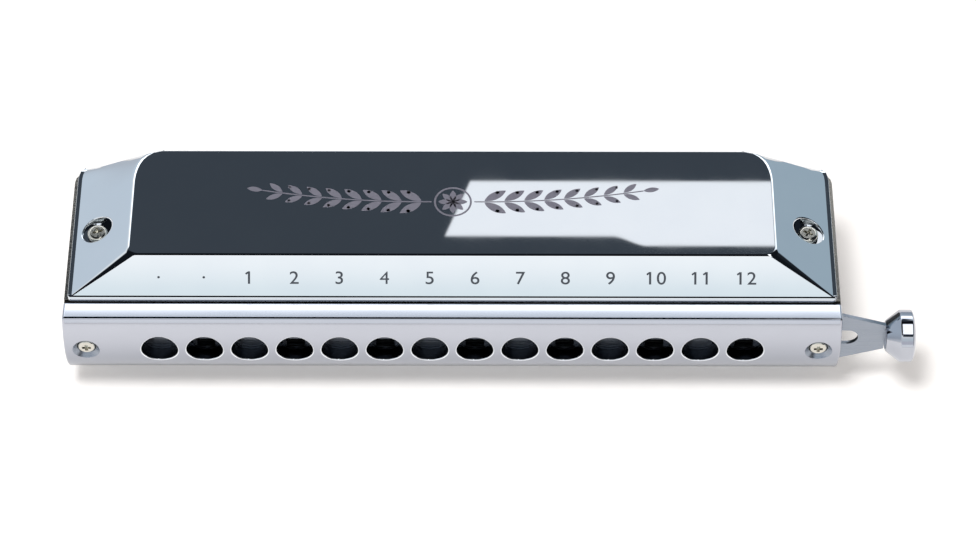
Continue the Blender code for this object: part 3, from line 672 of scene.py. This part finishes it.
# Numbers over the twelve upper holes and a dot over each of the two lowest
def makeNumbers():
    s, c = numberSize, coverSize
    run, rise = c["frontRun"] - c["frontFoot"], c["top"] - c["step"]
    slope = math.atan2(rise, run)
    lift = c["bulge"] * math.sin(slope) + s["above"]
    y = c["front"] + c["frontFoot"] + run * s["share"] - lift * math.sin(slope)
    z = c["step"] + rise * s["share"] + lift * math.cos(slope)
    marks = {character: makeMark(character) for character in ".0123456789"}
    made = []
    for i, x in enumerate(holeXs):
        label = str(i - 1) if i > 1 else "."
        for j, character in enumerate(label):
            place = (x + (j - (len(label) - 1) / 2) * s["step"], y, z)
            made.append(copied(marks[character], "mark", place, (slope, 0, 0)))
    discard(*marks.values())
    return joined(made, "printed_numbers")


numbers = makeNumbers()
finish(numbers, ink)
print("numbers made")

slideSize = {
    "y": 3.7, "thick": 0.8, "half": 7.0, "left": -73.2, "forkRoot": -68.0, "forkHalf": 2.2,
    "armStart": 79.35, "armEnd": 88.55, "tipHalf": 3.8, "tabHalf": 2.2, "tabEnd": 91.2,
    "slotStart": 72.6, "slotEnd": 83.1, "slotHalf": 2.2, "travel": 4.6, "windowBar": 0.8,
    "windowLow": 0.8, "windowHigh": 3.5, "springX": 70.8, "springHole": 1.4, "edge": 0.08,
}


def makeSlide():
    s = slideSize
    low, high = s["y"], s["y"] + s["thick"]
    plate = addBox("slide_plate", (s["left"], low, -s["half"]), (s["tabEnd"], high, s["half"]))
    for side in (1, -1):
        run, drop = s["armEnd"] - s["armStart"], s["half"] - s["tipHalf"]
        wedge = addBox("arm_wedge", (s["armStart"], low - 1, side * s["half"]),
                       (s["armEnd"] + 9, high + 1, side * (s["half"] + 9)))
        # The box is sheared down along the arm, so that it takes off a taper.
        for v in wedge.data.vertices:
            v.co.z -= side * (v.co.x - at(s["armStart"], 0, 0).x) * drop / run
        combine(plate, wedge)
        combine(plate, addBox("tab_side", (s["armEnd"], low - 1, side * s["tabHalf"]),
                              (s["tabEnd"] + 1, high + 1, side * (s["half"] + 3))))
    combine(plate, addBox("fork", (s["left"] - 1, low - 1, -s["forkHalf"]),
                          (s["forkRoot"], high + 1, s["forkHalf"])))
    slot = addCylinder("slot", (s["slotStart"] + s["slotHalf"], low, 0), s["slotHalf"], 4, "Y", 64)
    move(slot, lambda v: v.co.x > at(s["slotStart"] + s["slotHalf"], 0, 0).x - 1e-7,
         (s["slotEnd"] - s["slotStart"] - 2 * s["slotHalf"], 0, 0))
    combine(plate, slot)
    width = s["travel"] - s["windowBar"]
    cutters = []
    for i, x in enumerate(holeXs):
        side = 1 if i % 2 == 0 else -1
        for middle, way in ((x, side), (x + s["travel"], -side)):
            cutters.append(addBox("window", (middle - width / 2, low - 1, way * s["windowLow"]),
                                  (middle + width / 2, high + 1, way * s["windowHigh"])))
    side = s["springHole"] / 2
    cutters.append(addBox("spring_hole", (s["springX"] - side, low - 1, -side),
                          (s["springX"] + side, high + 1, side)))
    combine(plate, joined(cutters, "windows"))
    cleaned(plate)
    return softened(plate, s["edge"])


slide = makeSlide()
finish(slide, brushedSteel, "slide", ["slide"])

buttonSize = {
    "x": 88.6, "neck": 3.1, "radius": 5.4, "cone": 2.9, "rim": 2.3, "dome": 1.1, "domeSteps": 8,
    "edge": 0.22, "slideMiddle": 4.1, "gap": 0.05,
}


# A cone is the button's underside, and its big end is drawn out to the rim and the domed face
def makeButton():
    s = buttonSize
    clearSelection()
    middle = at(s["x"] + s["cone"] / 2, s["slideMiddle"], 0)
    bpy.ops.mesh.primitive_cone_add(vertices=96, radius1=s["neck"] * mm, radius2=s["radius"] * mm,
                                    depth=s["cone"] * mm, location=middle, rotation=turns["X"])
    button = named("button_turning")
    select(button, "FACE", lambda f: f.normal.x > 0.9)
    extrude((s["rim"], 0, 0))
    ring, reach = 1.0, 0.0
    for step in range(1, s["domeSteps"] + 1):
        a = math.pi / 2 * step / (s["domeSteps"] + 1)
        ahead, size = s["dome"] * math.sin(a), math.cos(a) / ring
        extrude((ahead - reach, 0, 0), (1, size, size), (0, s["slideMiddle"], 0))
        ring, reach = math.cos(a), ahead
    extrude((s["dome"] - reach, 0, 0))
    bpy.ops.mesh.merge(type="CENTER")
    leaveEdit()
    bevelEdges(button, lambda e: fold(e) > 35, s["edge"], 4)
    w, gap = slideSize, s["gap"]
    combine(button, addBox("socket", (s["x"] - 1, w["y"] - gap, -w["tabHalf"] - gap),
                           (w["tabEnd"] + gap, w["y"] + w["thick"] + gap, w["tabHalf"] + gap)))
    return button


button = makeButton()
shade(button, 25)
finish(button, buttonPlate, "slide", ["slide_button"])
print("slide and button made")

# For each screw: radius and height of the head, radius and length of the shank, width of the cross
screwSize = {
    "mouth": (1.85, 1.1, 1.0, 12.1, 0.42), "cover": (2.1, 1.3, 1.0, 21.5, 0.32),
    "plate": (1.4, 0.8, 0.7, 5.8, 0.26),
    "reach": 0.6, "depth": 0.6, "taper": 0.7, "crown": 0.5, "sunk": 0.6, "clear": 0.03,
    "coverTurns": {"left": 0.3, "right": -0.5},
}


# A cross-head screw, upright, with the top of its head on (0, 0, 0)
def makeScrew(head, height, shank, length, blade):
    s = screwSize
    screw = addCylinder("screw", (0, 0, -height / 2), head, height, sides=64)
    top = at(0, 0, -0.01).z
    bevelEdges(screw, lambda e: all(v.co.z > top for v in e.verts) and fold(e) > 60, height * s["crown"], 6)
    for across in (0, 1):
        long, thin, floor = head * s["reach"], head * blade / 2, -height * s["depth"]
        x, y = (thin, long) if across else (long, thin)
        groove = addBox("groove", (-x, -y, floor), (x, y, 1))
        scaleFaces(groove, lambda f: f.normal.z < -0.9, (s["taper"], s["taper"], 1), (0, 0, floor))
        combine(screw, groove)
    under = -height + 0.1
    combine(screw, addCylinder("shank", (0, 0, (under - length) / 2), shank, length + under, sides=32),
            "UNION")
    return screw


# How far a CAD node reaches, in the maker's millimetres
def cadBox(node):
    return [[(c / mm - o) for c, o in zip(corner, (0, frontY, middleZ))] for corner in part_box(node)]


# A copy of a screw in the place of a CAD node
def placeScrew(model, node, place, turn=(0, 0, 0)):
    screw = copied(model, node.replace("screw", "cross_screw").replace("bolt", "cross_bolt"), place, turn)
    shade(screw, 25)
    finish(screw, nickelSteel, stands=[node])


towardsFront, upsideDown = (math.pi / 2, 0, 0), (math.pi, 0, 0)
mouthScrew, coverBolt, plateScrew = (makeScrew(*screwSize[kind]) for kind in ("mouth", "cover", "plate"))
sides = {"left": -1, "right": 1}
for side, way in sides.items():
    place = (way * mouthpieceSize["screwX"], screwSize["sunk"], 0)
    placeScrew(mouthScrew, "mouthpiece_screw_" + side, place, towardsFront)
for side, way in sides.items():
    place = (way * coverSize["cupX"], coverSize["cupY"],
             coverSize["cupFloor"] + screwSize["clear"] + screwSize["cover"][1])
    placeScrew(coverBolt, "cover_bolt_" + side, place, (0, 0, screwSize["coverTurns"][side]))
for level, turn in (("upper", (0, 0, 0)), ("lower", upsideDown)):
    for i in range(1, 7):
        node = f"{level}_plate_screw_{i}"
        low, high = cadBox(node)
        z = high[2] if level == "upper" else low[2]
        placeScrew(plateScrew, node, ((low[0] + high[0]) / 2, (low[1] + high[1]) / 2, z), turn)
discard(mouthScrew, coverBolt, plateScrew)

nutSize = {"across": 4.0, "height": 1.6, "chamfer": 0.18, "bore": 1.03}


def makeNut():
    s = nutSize
    nut = addCylinder("nut", (0, 0, 0), s["across"] / 2 / math.cos(math.pi / 6), s["height"], sides=6)
    bevelEdges(nut, lambda e: fold(e) > 80, s["chamfer"], 2)
    combine(nut, addCylinder("nut_bore", (0, 0, 0), s["bore"], 4, sides=32))
    return nut


nutModel = makeNut()
for side, way in sides.items():
    place = (way * coverSize["cupX"], coverSize["cupY"],
             -coverSize["cupFloor"] - screwSize["clear"] - nutSize["height"] / 2)
    nut = copied(nutModel, "cover_hex_nut_" + side, place)
    shade(nut)
    finish(nut, nickelSteel, stands=["cover_nut_" + side])
discard(nutModel)
print("screws and nuts made")

# The reed's profile gives width, thickness and how far on from the step before.
reedSize = {
    "plateTop": 7.6, "plateBottom": 6.55, "plateFront": 7.2, "long": 21.0, "short": 10.0, "aside": 1.95,
    "thick": 0.25, "pad": 2.5, "padLength": 2.6, "padCorner": 0.5, "stiff": 1.4,
    "profile": ((2.0, 0.25, 0.5), (2.0, 0.16, 6), (1.9, 0.12, 7), (1.7, 0.13, 6)),
    "rivet": 0.8, "rivetHeight": 0.35, "rivetEdge": 0.28, "blowRoot": 9.3, "drawRoot": 36.3, "gap": 0.01,
}
valveSize = {
    "width": 3.0, "thick": 0.15, "root": (-1.0, 0.6), "past": 1.3, "curl": 0.35, "steps": 8, "corner": 0.7,
}


# A reed for the longest slot, lying back from its riveted root on (0, 0, 0), thinner to its tip
def makeReed():
    s = reedSize
    end, half = s["padLength"] / 2, s["pad"] / 2
    reed = addBox("reed", (-half, -end, 0), (half, end, s["thick"]))
    bevelEdges(reed, lambda e: abs(e.verts[0].co.z - e.verts[1].co.z) > 1e-5, s["padCorner"], 3)
    select(reed, "FACE", lambda f: f.normal.y > 0.9)
    width, thick = s["pad"] - 2 * s["padCorner"], s["thick"]
    for wider, thinner, ahead in s["profile"]:
        extrude((0, ahead, 0), (wider / width, 1, thinner / thick), (0, 0, 0))
        width, thick = wider, thinner
    leaveEdit()
    reed.data.materials.append(bronze)
    tall = s["thick"] + s["rivetHeight"]
    rivet = addCylinder("rivet", (0, 0, tall / 2), s["rivet"], tall, sides=24)
    top = at(0, 0, tall - 0.01).z
    bevelEdges(rivet, lambda e: all(v.co.z > top for v in e.verts), s["rivetEdge"], 4)
    rivet.data.materials.append(brass)
    return joined([reed, rivet], "reed")


# A valve for the longest slot, glued at its root, its tip curled a little off the plate
def makeValve():
    s = valveSize
    half, steps = s["width"] / 2, s["steps"]
    valve = addBox("valve", (-half, s["root"][0], 0), (half, s["root"][1], s["thick"]))
    select(valve, "FACE", lambda f: f.normal.y > 0.9)
    ahead = (reedSize["long"] + s["past"]) / steps
    for step in range(1, steps + 1):
        extrude((0, ahead, s["curl"] * ((step / steps) ** 2 - ((step - 1) / steps) ** 2)))
    leaveEdit()
    upright = lambda e: abs(e.verts[0].co.z - e.verts[1].co.z) > 1e-4
    bevelEdges(valve, lambda e: fold(e) > 60 and upright(e), s["corner"], 4)
    valve.data.materials.append(valveFilm)
    return valve


# A row of fourteen, shorter from left to right. Rows that lie ahead of their root run to the front.
def makeRow(model, name, aside, rootY, z, ahead, up):
    s = reedSize
    turn = {(1, 1): (0, 0, 0), (-1, 1): (0, 0, math.pi), (1, -1): (0, math.pi, 0), (-1, -1): (math.pi, 0, 0)}
    made = []
    for i, x in enumerate(holeXs):
        tongue = copied(model, "tongue", (0, 0, 0))
        shorter = 1 - (s["long"] - s["short"]) / s["long"] * i / (len(holeXs) - 1)
        root = at(0, s["stiff"], 0).y
        for v in tongue.data.vertices:
            if v.co.y > root:
                v.co.y = root + (v.co.y - root) * shorter
        made.append(copied(tongue, "tongue", (x + aside, rootY, z), turn[(ahead, up)]))
        discard(tongue)
    return joined(made, name)


reedModel, valveModel = makeReed(), makeValve()
top, bottom = reedSize["plateTop"] + reedSize["gap"], reedSize["plateBottom"] - reedSize["gap"]
side = reedSize["aside"]
rows = {
    "outer_reeds": (reedModel, side, reedSize["drawRoot"], top, -1, 1, "bronze"),
    "inner_reeds": (reedModel, -side, reedSize["blowRoot"], bottom, 1, -1, "bronze"),
    "outer_valves": (valveModel, -side, reedSize["blowRoot"], top, 1, 1, "clear_plastic"),
    "inner_valves": (valveModel, side, reedSize["drawRoot"], bottom, -1, -1, "clear_plastic"),
}
for row, (model, aside, rootY, z, ahead, up, slot) in rows.items():
    upper = makeRow(model, f"upper_{row}_set", aside, rootY, z, ahead, up)
    lower = mirroredBelow(upper, f"lower_{row}_set")
    for level, piece in (("upper", upper), ("lower", lower)):
        shade(piece)
        finish(piece, None, stands=[f"{level}_{row}"])
discard(reedModel, valveModel)
print("reeds and valves made")


# A copy of a CAD node, its loose triangles merged into faces again
def dressed(node, name):
    piece = bpy.data.objects.new(name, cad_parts[node].data.copy())
    bpy.context.scene.collection.objects.link(piece)
    cleaned(piece)
    return piece


finish(softened(dressed("comb", "chambered_comb"), 0.12), blackAbs, stands=["comb"])
for level in ("upper", "lower"):
    plate = dressed("reed_plate_" + level, level + "_slotted_plate")
    # The front edge keeps a dark gap behind the mouthpiece.
    front = reedSize["plateFront"]
    move(plate, lambda v: v.co.y < at(0, front, 0).y, (0, front - cadBox("reed_plate_" + level)[0][1], 0))
    finish(softened(plate, 0.08), nickelPlate, stands=["reed_plate_" + level])
for side in ("left", "right"):
    bumper = dressed("slide_bumper_" + side, "rubber_bumper_" + side)
    finish(softened(bumper, 0.15), rubber, stands=["slide_bumper_" + side])

springSize = {
    "tipX": 70.8, "tipY": 3.9, "coilX": 67.6, "coilY": 12.1, "radius": 1.6, "turns": 2.5, "pitch": 1.15,
    "wire": 0.7, "rest": 4.8, "steps": 20, "bend": (4.5, 11),
}


# One wire: an arm into the slide, a coil and an arm that rests in the comb
def makeSpring():
    s = springSize
    points = [(s["tipX"], s["tipY"], 0)]
    for i in range(int(s["turns"] * s["steps"]) + 1):
        a = 2 * math.pi * i / s["steps"]
        points.append((s["coilX"] + s["radius"] * math.cos(a), s["coilY"] + s["radius"] * math.sin(a),
                       s["pitch"] * i / s["steps"]))
    x, y, z = points[-1]
    points.append((x, y - s["rest"], z))
    curve = bpy.data.curves.new("wire", "CURVE")
    curve.dimensions = "3D"
    curve.bevel_depth = s["wire"] / 2 * mm
    curve.bevel_resolution = 3
    curve.use_fill_caps = True
    line = curve.splines.new("POLY")
    line.points.add(len(points) - 1)
    for point, place in zip(line.points, points):
        point.co = (*at(*place), 1)
    wire = bpy.data.objects.new("wire_spring", curve)
    bpy.context.scene.collection.objects.link(wire)
    activate(wire)
    bpy.ops.object.convert(target="MESH")
    return named("wire_spring")


# The spring, shaded and finished, stands in for the CAD spring where it is made.
spring = makeSpring()
shade(spring, 40)
spring.data.materials.append(springSteel)
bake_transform(spring)
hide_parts("slide_spring")
print("comb, plates, bumpers and spring made")

ornamentSize = {
    "middle": 27.4, "top": 14.642, "thick": 0.1, "leaf": (5.2, 1.9), "leaves": 8, "first": 6.5, "step": 4.1,
    "splay": 32, "shrink": 0.045, "rise": 3.0, "petals": 8, "petal": (3.0, 1.3), "ring": (3.5, 3.9),
    "stem": 0.28, "stemStart": 4.4, "stemCuts": 24, "leafAside": 0.25,
    "berry": 0.42, "berryAside": 2.6, "berryBack": 0.35,
}


# A leaf is where two discs overlap, with its stalk end on (0, 0, 0) and its tip to the right
def makeLeaf(length, width):
    radius = (length ** 2 + width ** 2) / (4 * width)
    aside = radius - width / 2
    discs = [addCylinder("disc", (length / 2, side * aside, 0), radius, ornamentSize["thick"], sides=160)
             for side in (1, -1)]
    combine(discs[0], discs[1], "INTERSECT")
    return discs[0]


# A rosette with a branch of leaves to each side, etched into the flat of the upper cover
def makeOrnament():
    s = ornamentSize
    z, zero = s["top"] - s["thick"] / 2, at(0, 0, 0)
    leaf, petal = makeLeaf(*s["leaf"]), makeLeaf(*s["petal"])
    made = []
    for i in range(s["petals"]):
        made.append(copied(petal, "petal", (0, s["middle"], z), (0, 0, 2 * math.pi * i / s["petals"])))
    ring = addCylinder("ring", (0, s["middle"], z), s["ring"][1], s["thick"], sides=96)
    combine(ring, addCylinder("ring_bore", (0, s["middle"], z), s["ring"][0], 2, sides=96))
    made.append(ring)

    def line(x):
        share = (abs(x) - s["first"]) / (s["step"] * s["leaves"])
        return s["middle"] + s["rise"] * share ** 2

    for way in (1, -1):
        end = s["first"] + s["step"] * s["leaves"]
        x = sorted((way * s["stemStart"], way * end))
        stem = addBox("stem", (x[0], s["middle"] - s["stem"] / 2, z - s["thick"] / 2),
                      (x[1], s["middle"] + s["stem"] / 2, z + s["thick"] / 2))
        for cut in range(1, s["stemCuts"]):
            bisect(stem, (x[0] + (x[1] - x[0]) * cut / s["stemCuts"], 0, 0), (1, 0, 0), clear=False)
        for v in stem.data.vertices:
            v.co.y += (line(v.co.x / mm) - s["middle"]) * mm
        made.append(stem)
        for i in range(s["leaves"] + 1):
            x = way * (s["first"] + s["step"] * i)
            share = 1 - s["shrink"] * i
            for side in ((1, -1) if i < s["leaves"] else (0,)):
                turn = math.radians(s["splay"]) * side
                turn += math.atan(2 * s["rise"] * i / s["leaves"] ** 2 / s["step"])
                turn = turn if way > 0 else math.pi - turn
                grown = copied(leaf, "leaf")
                grown.scale = (share, share, 1)
                grown.location = zero - Vector((share * zero.x, share * zero.y, zero.z))
                activate(grown)
                grown = named("leaf")
                place = (x, line(x) + side * s["leafAside"], z)
                made.append(copied(grown, "leaf", place, (0, 0, turn)))
                discard(grown)
            if 0 < i < s["leaves"]:
                middle = x - way * s["step"] * s["berryBack"]
                for side in (1, -1):
                    spot = (middle, line(middle) + side * s["berryAside"] * share, z)
                    made.append(addCylinder("berry", spot, s["berry"] * share, s["thick"], sides=24))
    discard(leaf, petal)
    return joined(made, "etched_ornament")


finish(makeOrnament(), etchedChrome)
print("ornament made")

# Nothing stands in for the slide's two housing plates: they keep their CAD shape and take their finish here,
# dark with painted shade.
for name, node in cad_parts.items():
    for slot in node.material_slots:
        slot.material = shadedHousingSteel

stageSize = {
    "cameraPlace": (7.25, -477.55, 605.55), "pitch": 38.504, "roll": 0.1, "lens": 134.1, "sensor": 36,
    "floor": 3.0, "lampSize": 0.34, "lampPlace": (-0.2, -0.25, 1.08), "lampPower": 8.5, "lift": 0.13,
    "tent": (0.55, 0.525, 0.51, 1),
}


def makeCamera():
    data = bpy.data.cameras.new("camera")
    data.lens = stageSize["lens"]
    data.sensor_width = stageSize["sensor"]
    camera = bpy.data.objects.new("camera", data)
    bpy.context.scene.collection.objects.link(camera)
    tilt = Matrix.Rotation(math.radians(stageSize["pitch"]), 4, "X")
    roll = Matrix.Rotation(math.radians(stageSize["roll"]), 4, "Z")
    camera.matrix_world = Matrix.Translation(Vector(stageSize["cameraPlace"]) * mm) @ tilt @ roll
    bpy.context.scene.camera = camera


# White seamless paper. What looks at it sees it a little lifted, which keeps it white right across,
# and from below it is clear.
def makeFloor():
    clearSelection()
    bpy.ops.mesh.primitive_plane_add(size=2 * stageSize["floor"])
    floor = named("floor")
    paper = makeFinish("seamless paper", (40, 40, 40), ("#F8F6F4", "#FBF9F7"), (0.9, 0.95),
                       Emission_Color=colour("#FFFEFD"))
    tree = paper.node_tree
    shader = tree.nodes["Principled BSDF"]
    rays = addNode(tree, "ShaderNodeLightPath").outputs
    seen = addNode(tree, "ShaderNodeMath", {0: rays["Is Camera Ray"], 1: rays["Is Glossy Ray"]},
                   operation="ADD")
    seen = addNode(tree, "ShaderNodeMath", {0: seen.outputs[0], 1: rays["Is Transmission Ray"]},
                   operation="ADD", use_clamp=True)
    lift = addNode(tree, "ShaderNodeMath", {0: seen.outputs[0], 1: stageSize["lift"]}, operation="MULTIPLY")
    tree.links.new(lift.outputs[0], shader.inputs["Emission Strength"])
    below = addNode(tree, "ShaderNodeNewGeometry").outputs["Backfacing"]
    clear = addNode(tree, "ShaderNodeBsdfTransparent")
    both = addNode(tree, "ShaderNodeMixShader", {0: below, 1: shader.outputs[0], 2: clear.outputs[0]})
    tree.links.new(both.outputs[0], tree.nodes["Material Output"].inputs["Surface"])
    floor.data.materials.append(paper)
    floor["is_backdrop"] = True


# The white panel that the flat of the upper cover mirrors. It is placed in the plane that lies across the
# camera's mirrored view: ahead is that view, over points up across it. Its left edge leans, and its
# foot steps down between two places to the right.
panelSize = {
    "ahead": (0, 0.6225, 0.7826), "over": (0, 0.7826, -0.6225), "lean": -0.457,
    "step": (0.034, 0.044), "foot": (0.0106, 0.0080),
}


# The studio round the object, painted by direction: pale walls, a dark ceiling, and one long white panel
def makeRoom():
    p = panelSize
    world = bpy.data.worlds.new("studio")
    bpy.context.scene.world = world
    world.use_nodes = True
    tree = world.node_tree
    way = addNode(tree, "ShaderNodeTexCoord").outputs["Generated"]
    axes = addNode(tree, "ShaderNodeSeparateXYZ", {0: way}).outputs
    x, y, z = axes["X"], axes["Y"], axes["Z"]
    aside = addNode(tree, "ShaderNodeMath", {0: x}, operation="ABSOLUTE").outputs[0]
    ahead, over = (addNode(tree, "ShaderNodeVectorMath", {0: way, 1: p[axis]},
                           operation="DOT_PRODUCT").outputs["Value"] for axis in ("ahead", "over"))
    right, up = (addNode(tree, "ShaderNodeMath", {0: across, 1: ahead}, operation="DIVIDE").outputs[0]
                 for across in (x, over))
    lean = addNode(tree, "ShaderNodeMath", {0: up, 1: p["lean"], 2: right},
                   operation="MULTIPLY_ADD").outputs[0]
    foot = addNode(tree, "ShaderNodeMapRange", {
        "Value": right, "From Min": p["step"][0], "From Max": p["step"][1],
        "To Min": p["foot"][0], "To Max": p["foot"][1]}, interpolation_type="SMOOTHSTEP").outputs[0]
    stand = addNode(tree, "ShaderNodeMath", {0: up, 1: foot}, operation="SUBTRACT").outputs[0]
    # Each zone is bounded by edges: a value, where the zone has nothing yet and where it is full.
    inFront = (y, -0.3, -0.5)
    behind = [(aside, 0.42, 0.30), (y, 0.3, 0.5)]
    byButton = [(x, 0.100, 0.106), (x, 0.23, 0.20)]
    layers = [
        # Walls, brighter upwards and bluer to the right
        ("#C3CAD3", []),
        ("#D2DEE9", [(z, 0.1, 0.4)]),
        ("#F6FAFD", [(z, 0.52, 0.66)]),
        ("#A7B9C5", [(x, -0.1, 0.5)]),
        # In front, in bands for the mouthpiece and the covers' front
        ((1.2, 1.2, 1.2, 1), [inFront]),
        ((0.8, 0.8, 0.86, 1), [inFront, (z, 0.14, 0.26)]),
        ((0.89, 0.98, 1.01, 1), [inFront, (z, 0.36, 0.59)]),
        ((1.13, 1.15, 1.155, 1), [inFront, (z, 0.60, 0.70)]),
        ((1.5, 1.5, 1.5, 1), [inFront, (z, 0.715, 0.75), (x, 0.10, 0.085)]),
        # A glow behind, and the dark ceiling
        ((2.6, 2.65, 2.7, 1), behind + [(z, 0.45, 0.56)]),
        ((1.2, 1.27, 1.33, 1), behind + [(z, 0.700, 0.722)]),
        ("#14171C", [(z, 0.70, 0.75), (aside, 0.74, 0.66), (y, -0.62, -0.55), (y, 0.58, 0.52)]),
        ("#40474F", [(z, 0.736, 0.746), (x, -0.74, -0.66), (x, 0.20, 0.12), (y, 0.40, 0.52)]),
        # Mostly the button, at the far right, looks these three ways.
        ("#20242A", [(x, 0.50, 0.60), (y, 0.40, 0.30), (z, -0.3, -0.2)]),
        ((2.2, 2.2, 2.2, 1), byButton + [(y, -0.53, -0.50), (y, 0.28, 0.22)]),
        ("#3C424A", byButton + [(y, -0.68, -0.66), (y, -0.52, -0.55)]),
        # The panel
        ((1.06, 1.08, 1.11, 1), [(lean, -0.0171, -0.0163), (up, 0.0262, 0.0254), (right, 0.11, 0.10),
                                 (stand, -0.0004, 0.0004)]),
    ]
    painted = None
    for tone, edges in layers:
        tone = colour(tone) if isinstance(tone, str) else tone
        share = 1.0
        for value, none, full in edges:
            edge = addNode(tree, "ShaderNodeMapRange", {
                "Value": value, "From Min": min(none, full), "From Max": max(none, full),
                "To Min": int(none > full), "To Max": int(none < full)},
                interpolation_type="SMOOTHSTEP").outputs[0]
            share = addNode(tree, "ShaderNodeMath", {0: share, 1: edge}, operation="MULTIPLY").outputs[0]
        painted = addNode(tree, "ShaderNodeMix", {0: share, 6: painted or tone, 7: tone},
                          data_type="RGBA").outputs[2]
    # Matt surfaces see the same room blurred to one even tone, as in a light tent.
    diffuse = addNode(tree, "ShaderNodeLightPath").outputs["Is Diffuse Ray"]
    painted = addNode(tree, "ShaderNodeMix", {0: diffuse, 6: painted, 7: stageSize["tent"]},
                      data_type="RGBA").outputs[2]
    tree.links.new(painted, tree.nodes["Background"].inputs["Color"])


# A broad lamp overhead gives the floor its level and the soft shadow; metal does not mirror it
def makeLamp():
    data = bpy.data.lights.new("overhead", "AREA")
    data.shape = "SQUARE"
    data.size = stageSize["lampSize"]
    data.energy = stageSize["lampPower"]
    lamp = bpy.data.objects.new("overhead", data)
    bpy.context.scene.collection.objects.link(lamp)
    place = Vector(stageSize["lampPlace"])
    lamp.matrix_world = Matrix.Translation(place) @ place.to_track_quat("Z", "Y").to_matrix().to_4x4()
    lamp.visible_glossy = False


makeCamera()
makeFloor()
makeRoom()
makeLamp()
bpy.context.scene.view_settings.view_transform = "Standard"
print("stage made")

low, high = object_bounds()
